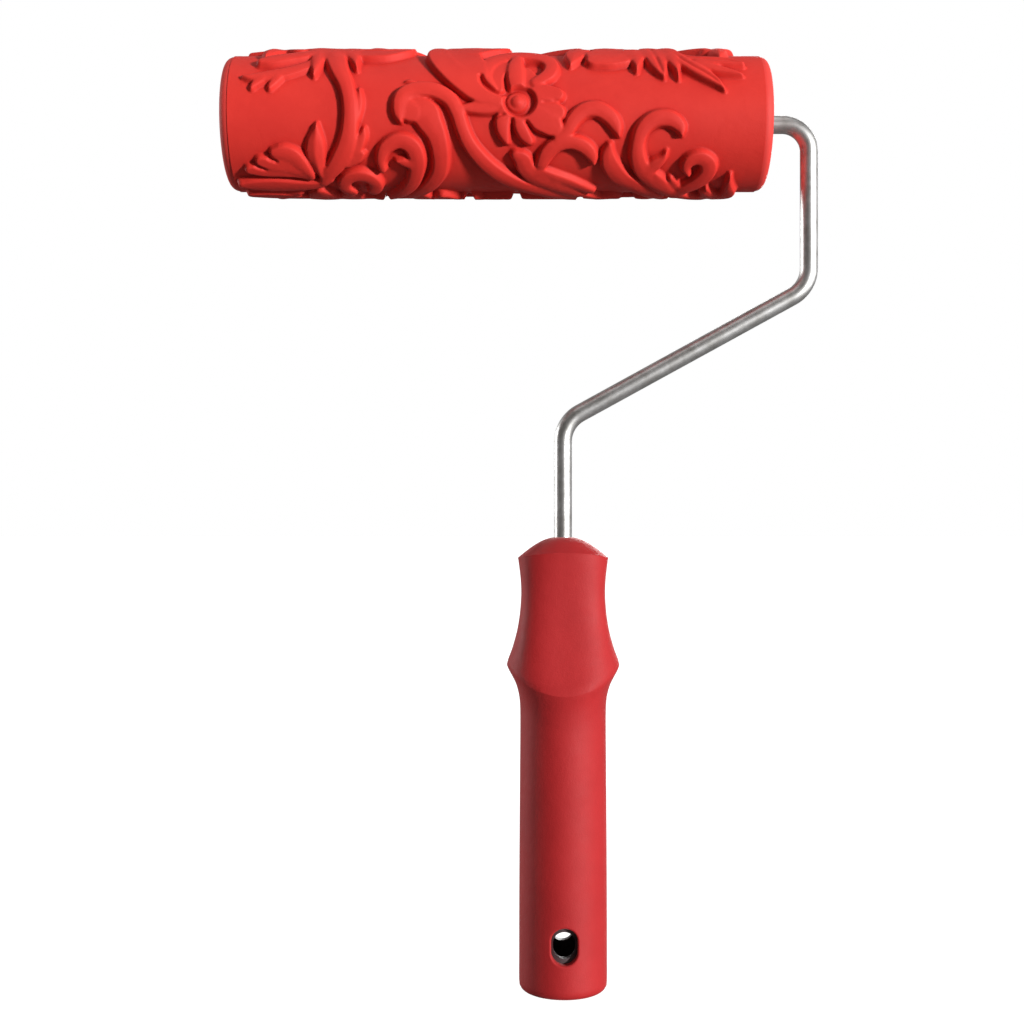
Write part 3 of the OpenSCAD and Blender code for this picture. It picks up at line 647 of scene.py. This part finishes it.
def ramp(tree_nodes, links, source, stops):
    """A colour ramp fed by a value; stops are (place, colour)."""
    node = tree_nodes.new("ShaderNodeValToRGB")
    while len(node.color_ramp.elements) < len(stops):
        node.color_ramp.elements.new(0.5)
    for element, (place, colour) in zip(node.color_ramp.elements, stops):
        element.position = place
        element.color = (*colour, 1)
    links.new(source, node.inputs["Fac"])
    return node


def srgb(red, green, blue):
    """Linear colour from 0 to 255 values as a screen shows them."""
    values = [v / 255 for v in (red, green, blue)]
    return tuple(v / 12.92 if v <= 0.04045 else ((v + 0.055) / 1.055) ** 2.4 for v in values)


def bump(tree_nodes, links, source, strength, distance, after=None):
    """A bump node on the shader's normal, chained after another."""
    node = tree_nodes.new("ShaderNodeBump")
    node.inputs["Strength"].default_value = strength
    node.inputs["Distance"].default_value = distance
    links.new(source, node.inputs["Height"])
    if after is not None:
        links.new(after.outputs["Normal"], node.inputs["Normal"])
    return node


def roughness_between(tree_nodes, links, source, low, high, shader):
    """Roughness that follows a value between two limits."""
    node = tree_nodes.new("ShaderNodeMapRange")
    node.inputs["To Min"].default_value = low
    node.inputs["To Max"].default_value = high
    links.new(source, node.inputs["Value"])
    links.new(node.outputs["Result"], shader.inputs["Roughness"])


# Painted shade on the sleeve's recesses: a colour multiplier from the open surface to the deepest recess
PAINTED_SHADE_TINT = [(0.0, (1, 1, 1)), (0.3, (0.97, 0.9, 0.9)), (1.0, (0.62, 0.3, 0.3))]


def rubber_material(name, bright, dark, grain, use_painted_shade=False, sheen=0.0):
    """Matte moulded rubber or soft plastic: cloudy colour, fine grain, and painted shade that darkens the
    recesses of a relief.
    """
    mat, tn, links, shader = material(name)
    cloud = noise(tn, links, 45, 5, 0.6)
    colour = ramp(tn, links, cloud.outputs["Fac"], [(0.3, dark), (0.7, bright)])
    out = colour.outputs["Color"]
    if use_painted_shade:
        # Painted shade: the colour is multiplied darker in the sleeve's recesses, standing in for the shade
        # that falls there
        painted_shade = tn.new("ShaderNodeAttribute")
        painted_shade.attribute_name = "painted_shade"
        painted_shade_mix = tn.new("ShaderNodeMix")
        painted_shade_mix.data_type = "RGBA"
        painted_shade_mix.blend_type = "MULTIPLY"
        painted_shade_mix.inputs["Factor"].default_value = 1.0
        tint = ramp(tn, links, painted_shade.outputs["Fac"], PAINTED_SHADE_TINT)
        links.new(out, painted_shade_mix.inputs["A"])
        links.new(tint.outputs["Color"], painted_shade_mix.inputs["B"])
        out = painted_shade_mix.outputs["Result"]
    links.new(out, shader.inputs["Base Color"])
    fine = noise(tn, links, 2600, 3, 0.6)
    broad = noise(tn, links, 260, 3, 0.5)
    first = bump(tn, links, fine.outputs["Fac"], grain, 0.00012)
    second = bump(tn, links, broad.outputs["Fac"], 0.35, 0.0003, first)
    links.new(second.outputs["Normal"], shader.inputs["Normal"])
    roughness_between(tn, links, broad.outputs["Fac"], 0.55, 0.7, shader)
    shader.inputs["Specular IOR Level"].default_value = 0.22
    shader.inputs["Sheen Weight"].default_value = sheen
    shader.inputs["Sheen Roughness"].default_value = 0.3
    shader.inputs["Sheen Tint"].default_value = (1, 0.62, 0.6, 1)
    return mat


def plastic_material(name, bright, dark, low=0.3, high=0.45):
    """Moulded hard plastic with slight flow marks."""
    mat, tn, links, shader = material(name)
    cloud = noise(tn, links, 70, 4, 0.5)
    colour = ramp(tn, links, cloud.outputs["Fac"], [(0.35, dark), (0.65, bright)])
    links.new(colour.outputs["Color"], shader.inputs["Base Color"])
    fine = noise(tn, links, 1800, 2, 0.5)
    first = bump(tn, links, fine.outputs["Fac"], 0.25, 0.00006)
    links.new(first.outputs["Normal"], shader.inputs["Normal"])
    roughness_between(tn, links, cloud.outputs["Fac"], low, high, shader)
    return mat


def steel_material(name, bright, dark, low, high):
    """Plated steel: slightly mottled plating, fine unevenness and small scuffs."""
    mat, tn, links, shader = material(name)
    shader.inputs["Metallic"].default_value = 1.0
    mottle = noise(tn, links, 220, 6, 0.65)
    colour = ramp(tn, links, mottle.outputs["Fac"], [(0.3, dark), (0.62, bright)])
    links.new(colour.outputs["Color"], shader.inputs["Base Color"])
    scuffs = noise(tn, links, 900, 5, 0.7)
    roughness_between(tn, links, scuffs.outputs["Fac"], low, high, shader)
    fine = noise(tn, links, 1500, 4, 0.6)
    first = bump(tn, links, fine.outputs["Fac"], 0.12, 0.00005)
    links.new(first.outputs["Normal"], shader.inputs["Normal"])
    return mat


# The sleeve's rubber carries painted shade in its recesses
RUBBER_RED = rubber_material("rubber_red", srgb(204, 47, 38), srgb(193, 40, 33), 0.35, use_painted_shade=True)
GRIP_RED = rubber_material("grip_red", srgb(166, 34, 36), srgb(154, 29, 31), 0.5, sheen=0.3)
HUB_RED = rubber_material("hub_red", srgb(206, 60, 54), srgb(195, 52, 47), 0.3)
TUBE_GREY = plastic_material("tube_grey", srgb(226, 226, 222), srgb(205, 205, 200))
NYLON = plastic_material("nylon", srgb(240, 238, 228), srgb(226, 222, 208))
NYLON_BLUE = plastic_material("nylon_blue", srgb(60, 96, 190), srgb(46, 80, 170))
CORE_BLACK = plastic_material("core_black", srgb(78, 62, 64), srgb(62, 50, 52), 0.4, 0.6)
STEEL_ROD = steel_material("steel_rod", srgb(205, 204, 203), srgb(168, 166, 162), 0.36, 0.48)
STEEL_ZINC = steel_material("steel_zinc", srgb(200, 202, 206), srgb(150, 152, 156), 0.2, 0.42)
STEEL_DARK = steel_material("steel_dark", srgb(120, 122, 126), srgb(70, 72, 76), 0.3, 0.5)

NODE_MATERIALS = {
    "core_tube": TUBE_GREY, "left_bush": NYLON, "right_bush": NYLON, "nut_nylon_ring": NYLON_BLUE,
    "left_thrust_washer": STEEL_ZINC, "right_thrust_washer": STEEL_ZINC, "spring_washer": STEEL_DARK,
    "lock_nut": STEEL_ZINC, "stop_collar": STEEL_ZINC, "rod_push_nut": STEEL_DARK, "handle_core": CORE_BLACK,
    "left_hub": HUB_RED, "right_hub": HUB_RED, "dust_cap": HUB_RED, "wire_frame": STEEL_ROD,
    "grip": GRIP_RED, "pattern_sleeve": RUBBER_RED,
}


def paint(piece, mat):
    """Gives the whole piece one material."""
    piece.data.materials.clear()
    piece.data.materials.append(mat)


def place(piece, mat, slot, body, *replaced):
    """Paints a piece, hangs it on its body and hides the CAD nodes it stands for."""
    paint(piece, mat)
    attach(piece, body)
    if replaced:
        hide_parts(*replaced)


for node_name, node_material in NODE_MATERIALS.items():
    paint(nodes[node_name], node_material)


# ---------------------------------------- bent rod

ROD_R = 3.0
CRANK_X = wire_high[0] - ROD_R
AXLE_END_X = wire_low[0]
TAIL_Z = wire_low[2]
CRANK_TOP_Z = 236.2
CRANK_LOW_Z = 190.7
BENDS = (9.0, 11.0, 11.0)
CHAMFER = 0.6


def rod_line(corners, radii, step=0.8):
    """Centre line through corner points, with a true arc of the given radius at each inner corner."""
    points = [Vector(corners[0])]
    for corner, before, after, radius in zip(corners[1:-1], corners[:-2], corners[2:], radii):
        here = Vector(corner)
        back = (Vector(before) - here).normalized()
        ahead = (Vector(after) - here).normalized()
        half = back.angle(ahead) / 2
        cut = radius / math.tan(half)
        centre = here + (back + ahead).normalized() * radius / math.sin(half)
        start = here + back * cut - centre
        sweep = math.pi - 2 * half
        axis = start.cross(here + ahead * cut - centre).normalized()
        count = max(6, int(radius * sweep / step))
        points += [centre + Matrix.Rotation(sweep * k / count, 3, axis) @ start for k in range(count + 1)]
    points.append(Vector(corners[-1]))
    return points


def even_line(points, step):
    """The same line with points at most a step apart."""
    out = [points[0]]
    for a, b in zip(points, points[1:]):
        count = max(1, int((b - a).length / step))
        out += [a.lerp(b, (k + 1) / count) for k in range(count)]
    return out


def make_rod(around=48):
    """Bent rod with chamfered ends, swept in the XZ plane."""
    corners = [(AXLE_END_X, 0, AXLE_Z), (CRANK_X, 0, AXLE_Z), (CRANK_X, 0, CRANK_TOP_Z), (0, 0, CRANK_LOW_Z),
               (0, 0, TAIL_Z)]
    line = even_line(rod_line(corners, BENDS), 3.0)
    sideways = Vector((0, 1, 0))
    rows = []
    for i, point in enumerate(line):
        ahead = (line[min(i + 1, len(line) - 1)] - line[max(i - 1, 0)]).normalized()
        up = ahead.cross(sideways)
        radius = ROD_R - CHAMFER if i in (0, len(line) - 1) else ROD_R
        rows.append([point + (sideways * math.cos(a) + up * math.sin(a)) * radius
                     for a in np.linspace(0, 2 * math.pi, around, endpoint=False)])
    # The first and last straights start with a short chamfer
    for end, inner in ((0, 1), (len(rows) - 1, len(rows) - 2)):
        ahead = (line[inner] - line[end]).normalized() * CHAMFER
        rows[inner] = [p + (line[end] + ahead - line[inner]) for p in rows[inner]]
    verts = [tuple(p) for row in rows for p in row]
    rod = new_object("bent_rod", verts, capped_faces(len(rows), around))
    face_outwards(rod)
    smooth_by_angle(rod, 35)
    return rod


# ---------------------------------------- hubs and cap

CAP_SEAT_R = 9.2
CAP_T = 1.2
RECESS_R = 7.8
RECESS_DEPTH = 12.0
PLUG_DEPTH = 20.0
BOSS_R = 10.2
BOSS_LOW_R = 7.6
BUSH_R = 5.0
HUB_DEPTH = 24.0
RIM_ROUND = 2.8
TUBE_WALL = 2.0
PLUG_WALL = 2.2
BOSS_STEP = 2.0
STEP_IN_R = CAP_SEAT_R + 2.2
STEP_OUT_R = FLANGE_R - 4.5
STEP_DEPTH = 0.6
STEP_SLOPE = 0.4
CAP_R = CAP_SEAT_R - 0.06
CAP_SKIRT_R = RECESS_R - 0.06
CAP_SKIRT_Z = 4.2


def to_end(piece, right):
    """Turns a piece made along local Z so that it points inwards from the roller's left or right end."""
    end = ROLLER_X + (SLEEVE_LEN / 2 + FLANGE_T) * (1 if right else -1)
    spin = Matrix.Rotation(math.radians(-90 if right else 90), 4, "Y")
    piece.data.transform(Matrix.Translation(Vector((end, 0, AXLE_Z)) * MM) @ spin)


def make_hub(name, right):
    """Hub turned in one piece: rounded flange with a stepped face, plug ring, boss, recess and bush seat."""
    plug_r = TUBE_R - TUBE_WALL
    plug_in_r = plug_r - PLUG_WALL
    boss_z = RECESS_DEPTH + BOSS_STEP
    rim = [(FLANGE_R - RIM_ROUND * (1 - math.sin(a)), RIM_ROUND * (1 - math.cos(a)), 0)
           for a in np.radians(np.arange(0, 91, 7.5))]
    if right:
        mouth = [(RECESS_R, 0.0, 0.4)]
    else:
        mouth = [(RECESS_R, CAP_T, 0.05), (CAP_SEAT_R, CAP_T, 0.05), (CAP_SEAT_R, 0.0, 0.25)]
    profile = [
        (BUSH_R, HUB_DEPTH, 0.3), (BUSH_R, RECESS_DEPTH, 0.0), (RECESS_R, RECESS_DEPTH, 0.3), *mouth,
        (STEP_IN_R, 0.0, 0.3), (STEP_IN_R + STEP_SLOPE, STEP_DEPTH, 0.2),
        (STEP_OUT_R - STEP_SLOPE, STEP_DEPTH, 0.2), (STEP_OUT_R, 0.0, 0.3), *rim, (FLANGE_R, FLANGE_T, 0.1),
        (plug_r, FLANGE_T, 0.2), (plug_r, PLUG_DEPTH, 0.5), (plug_in_r, PLUG_DEPTH, 0.4),
        (plug_in_r, FLANGE_T, 0.6), (BOSS_R, FLANGE_T, 0.6), (BOSS_R, boss_z, 0.4),
        (BOSS_LOW_R, boss_z, 0.3), (BOSS_LOW_R, HUB_DEPTH, 0.4)]
    hub = lathe(name, rounded(profile, 0.3))
    smooth_by_angle(hub, 40)
    to_end(hub, right)
    return hub


def make_cap():
    """Snap-in cap with a slightly crowned face, a shallow groove near its rim and a short skirt."""
    profile = [
        (0.0, 0.25, 0), (4.0, 0.14, 1), (7.2, 0.1, 0.4), (7.5, 0.35, 0.15), (8.0, 0.35, 0.15),
        (8.3, 0.08, 0.2), (CAP_R, 0.15, 0.3), (CAP_R, CAP_T, 0.1), (CAP_SKIRT_R, CAP_T, 0.05),
        (CAP_SKIRT_R, CAP_SKIRT_Z, 0.3), (RECESS_R - 1, CAP_SKIRT_Z, 0.3), (RECESS_R - 1, CAP_T, 0.2),
        (0.0, CAP_T, 0)]
    cap = lathe("snap_cap", rounded(profile, 0.2))
    smooth_by_angle(cap, 40)
    to_end(cap, False)
    return cap


# ---------------------------------------- grip

HANDLE_H = 152.0
RIDGE_Z = 109.2
RIDGE_DIP = 9.0
RIM_Z = 145.1
RIM_RISE = 1.9
CORE_HOLE_R = 12.0
SLOT_W = 8.7
SLOT_H = 12.1
SLOT_Z = 17.8
RIM_A = 15.2
RIM_B = 11.7
CROWN_SWEEP = math.radians(84)
SKIN_R = 14.8
SLOT_LIP = 0.8
# The inner wall, from the rod's hole over the core's top down to the butt: (radius, height)
GRIP_BORE = [(ROD_R, 141.0), (8.0, 141.0), (8.0, 101.0), (CORE_HOLE_R, 92.0), (CORE_HOLE_R, 0.0)]


def grip_rows():
    """Stations up the grip: height at the sides, height at the front, half width, half depth, squareness."""
    low = RIDGE_Z - RIDGE_DIP
    shaft = [(0.0, 0.0, 12.6, 12.6, 2.0), (0.15, 0.15, 13.2, 13.2, 2.0), (0.6, 0.6, 13.95, 13.95, 2.0),
             (1.4, 1.4, 14.5, 14.5, 2.0), (3.0, 3.0, 14.8, 14.8, 2.0), (12, 12, 14.8, 14.8, 2.0),
             (28, 28, 14.78, 14.78, 2.0), (45, 44.5, 14.7, 14.7, 2.0), (60, 58, 14.6, 14.6, 2.0),
             (74, 70, 14.5, 14.5, 2.0), (86, 79, 14.42, 14.45, 2.0), (93, 85, 14.42, 14.5, 2.02),
             (97.2, 89, 14.6, 14.62, 2.05), (100.4, 92, 15.15, 14.95, 2.1), (103.4, 94.8, 16.1, 15.45, 2.1),
             (106, 97.2, 17.4, 16.15, 2.1), (107.9, low - 1.2, 18.45, 16.8, 2.1),
             (RIDGE_Z, low, 18.95, 17.2, 2.1)]
    neck = [(110.4, low + 1.3, 18.75, 16.95, 2.15), (112, low + 3.0, 18.1, 16.2, 2.3),
            (114.4, low + 5.9, 17.2, 15.1, 2.55), (117.4, 110.2, 16.3, 13.9, 2.8),
            (121, 115.6, 15.4, 12.75, 3.0), (125, 121, 14.72, 11.85, 3.1), (129, 126.2, 14.3, 11.25, 3.1),
            (133.2, 131.6, 14.1, 10.95, 3.0), (137.4, 136.9, 14.25, 10.95, 2.9),
            (141.2, 141.9, 14.65, 11.25, 2.7), (143.8, 145.2, 15.0, 11.55, 2.5),
            (RIM_Z, RIM_Z + RIM_RISE, RIM_A, RIM_B, 2.4)]
    return shaft, neck


def crown_rows(count=12):
    """Stations over the crown: a low cone with a rounded top, closed round the rod's hole."""
    rows = []
    for k in range(1, count + 1):
        t = k / count
        share = math.sin(CROWN_SWEEP * t) / math.sin(CROWN_SWEEP)
        side_z = RIM_Z + (HANDLE_H - RIM_Z) * share
        front_z = RIM_Z + RIM_RISE + (HANDLE_H - RIM_Z - RIM_RISE) * share
        half_width = ROD_R + (RIM_A - ROD_R) * (1 - t)
        half_depth = ROD_R + (RIM_B - ROD_R) * (1 - t)
        rows.append((side_z, front_z, half_width, half_depth, 2.4 - 0.4 * t))
    return rows


def smooth_stations(rows, step):
    """More stations between the given ones, on a smooth curve through them."""
    pts = np.array(rows, float)
    # The curve is measured along height and width, so that rows stay even where the shape turns fast
    pts = pts[:, [0, 2, 1, 3, 4]]
    dense = curve_through(pts, step)
    return dense[:, [0, 2, 1, 3, 4]]


def superellipse(turn, half_width, half_depth, power):
    """Point of a rounded-square outline at a turn from the front."""
    s, c = np.sin(turn), np.cos(turn)
    reach = (np.abs(s) ** power + np.abs(c) ** power) ** (-1 / power)
    return half_width * reach * s, -half_depth * reach * c


def make_grip(around=168):
    """Soft grip: lofted skin with a crisp saddle ridge and rim, the core's hole and the hang slot."""
    shaft, neck = grip_rows()
    stations = np.vstack([smooth_stations(shaft, 0.9), smooth_stations(neck, 0.8)[1:], crown_rows()])
    turn = np.linspace(0, 2 * math.pi, around, endpoint=False)
    verts = []
    for side_z, front_z, half_width, half_depth, power in stations:
        x, y = superellipse(turn, half_width, half_depth, power)
        z = side_z + (front_z - side_z) * np.cos(turn) ** 2
        verts.append(np.stack([x, y, z], axis=1))
    for radius, z in GRIP_BORE:
        verts.append(np.stack([radius * np.sin(turn), -radius * np.cos(turn), np.full(around, z)], axis=1))
    grip = new_object("soft_grip", np.concatenate(verts), ring_faces(len(verts), around))
    face_outwards(grip)
    cutter = slot_cutter(SLOT_W, SLOT_H, SLOT_LIP)
    cut = grip.modifiers.new("slot", "BOOLEAN")
    cut.operation = "DIFFERENCE"
    cut.solver = "EXACT"
    cut.object = cutter
    apply_modifiers(grip)
    bpy.data.objects.remove(cutter)
    smooth_by_angle(grip, 32)
    return grip


def stadium(width, height, count=64):
    """Outline of a round-ended slot, as (x, z) points about its middle with their outward directions."""
    straight = (height - width) / 2
    out = []
    for k in range(count):
        turn = 2 * math.pi * k / count
        x, z = math.cos(turn), math.sin(turn)
        out.append((x * width / 2, z * width / 2 + (straight if z >= 0 else -straight), x, z))
    return out


def slot_cutter(width, height, lip):
    """Solid that cuts the hang slot with a rounded lip where it meets the grip's skin, front and back."""
    outline = stadium(width, height)
    # From well outside the skin to the foot of the lip: how far outside the slot, how far under the skin
    steps = [(lip, -4.0)]
    steps += [(lip * (1 - math.sin(a)), lip * (1 - math.cos(a))) for a in np.radians(np.arange(0, 91, 18))]
    rows = []
    for side in (-1, 1):
        for spread, depth in (steps if side < 0 else steps[::-1]):
            row = []
            for x, z, out_x, out_z in outline:
                across = x + out_x * spread
                skin = math.sqrt(SKIN_R ** 2 - across * across)
                row.append((across, side * (skin - depth), SLOT_Z + z + out_z * spread))
            rows.append(row)
    faces = capped_faces(len(rows), len(outline))
    cutter = new_object("slot_cutter", np.concatenate(rows), faces, smooth=False)
    face_outwards(cutter)
    return cutter


# ---------------------------------------- build the pieces

place(make_sleeve(), RUBBER_RED, "rubber_red", "roller", "pattern_sleeve")
place(make_hub("left_end_flange", False), HUB_RED, "hub_red", "roller", "left_hub")
place(make_hub("right_end_flange", True), HUB_RED, "hub_red", "roller", "right_hub")
place(make_cap(), HUB_RED, "hub_red", "roller", "dust_cap")
place(make_rod(), STEEL_ROD, "steel_rod", "frame", "wire_frame")
place(make_grip(), GRIP_RED, "grip_red", "frame", "grip")


# ---------------------------------------- floor, light and camera

FLOOR_HALF = 9000
CAMERA_PLACE = (-17.2, -505, 160.5)
CAMERA_LENS = 52.66


def make_floor():
    """Plain pale floor under the butt of the handle."""
    corners = [(x * FLOOR_HALF, y * FLOOR_HALF, 0) for x, y in ((-1, -1), (1, -1), (1, 1), (-1, 1))]
    floor = new_object("floor", corners, [[0, 1, 2, 3]], smooth=False)
    mat, tn, links, shader = material("floor")
    shader.inputs["Base Color"].default_value = (0.25, 0.25, 0.25, 1)
    shader.inputs["Roughness"].default_value = 0.9
    # A little glow that only the camera sees keeps the floor pale without lighting the tool from below
    shader.inputs["Emission Color"].default_value = (1, 1, 1, 1)
    path = tn.new("ShaderNodeLightPath")
    links.new(path.outputs["Is Camera Ray"], shader.inputs["Emission Strength"])
    paint(floor, mat)


def area_light(name, place_mm, target_mm, size_mm, watts):
    """Soft box at a place, aimed at a target."""
    data = bpy.data.lights.new(name, "AREA")
    data.shape = "RECTANGLE"
    data.size, data.size_y = size_mm[0] * MM, size_mm[1] * MM
    data.energy = watts
    lamp = bpy.data.objects.new(name, data)
    bpy.context.scene.collection.objects.link(lamp)
    lamp.location = Vector(place_mm) * MM
    aim = Vector(target_mm) * MM - lamp.location
    lamp.rotation_euler = aim.to_track_quat("-Z", "Y").to_euler()


def sun_light(name, towards, strength, spread_degrees):
    """Distant soft light; towards is the direction from the tool to the light."""
    data = bpy.data.lights.new(name, "SUN")
    data.energy = strength
    data.angle = math.radians(spread_degrees)
    lamp = bpy.data.objects.new(name, data)
    bpy.context.scene.collection.objects.link(lamp)
    lamp.rotation_euler = (-Vector(towards)).to_track_quat("-Z", "Y").to_euler()


def make_world():
    """White to the camera; to everything else, a studio that is bright behind and dim in front."""
    world = bpy.data.worlds.new("studio")
    bpy.context.scene.world = world
    world.use_nodes = True
    tn, links = world.node_tree.nodes, world.node_tree.links
    back = tn["Background"]
    coords = tn.new("ShaderNodeTexCoord")
    split = tn.new("ShaderNodeSeparateXYZ")
    links.new(coords.outputs["Generated"], split.inputs["Vector"])
    depth = ramp(tn, links, split.outputs["Y"], [(0.0, (0.2, 0.19, 0.18)), (0.6, (0.8, 0.8, 0.8))])
    links.new(depth.outputs["Color"], back.inputs["Color"])
    back.inputs["Strength"].default_value = 0.5
    plain = tn.new("ShaderNodeBackground")
    plain.inputs["Color"].default_value = (1, 1, 1, 1)
    path = tn.new("ShaderNodeLightPath")
    mix = tn.new("ShaderNodeMixShader")
    links.new(path.outputs["Is Camera Ray"], mix.inputs["Fac"])
    links.new(back.outputs["Background"], mix.inputs[1])
    links.new(plain.outputs["Background"], mix.inputs[2])
    links.new(mix.outputs["Shader"], tn["World Output"].inputs["Surface"])


def make_camera():
    """Level camera in front of the tool, as far off as the perspective of the roller's ends asks."""
    data = bpy.data.cameras.new("camera")
    data.lens = CAMERA_LENS
    camera = bpy.data.objects.new("camera", data)
    bpy.context.scene.collection.objects.link(camera)
    camera.location = Vector(CAMERA_PLACE) * MM
    camera.rotation_euler = (math.radians(90), 0, 0)
    bpy.context.scene.camera = camera


make_floor()
make_world()
make_camera()
sun_light("key", (0.73, -0.67, 0.08), 4.9, 7)
sun_light("rim", (-0.90, 0.35, 0.15), 1.8, 20)
sun_light("back", (0.25, 0.90, 0.30), 1.6, 25)
area_light("edge", (560, -120, 330), (0, 0, 200), (260, 520), 0.9)
area_light("sky", (-60, -160, 900), (0, 0, 260), (700, 700), 1.5)
bpy.context.scene.view_settings.view_transform = "Standard"
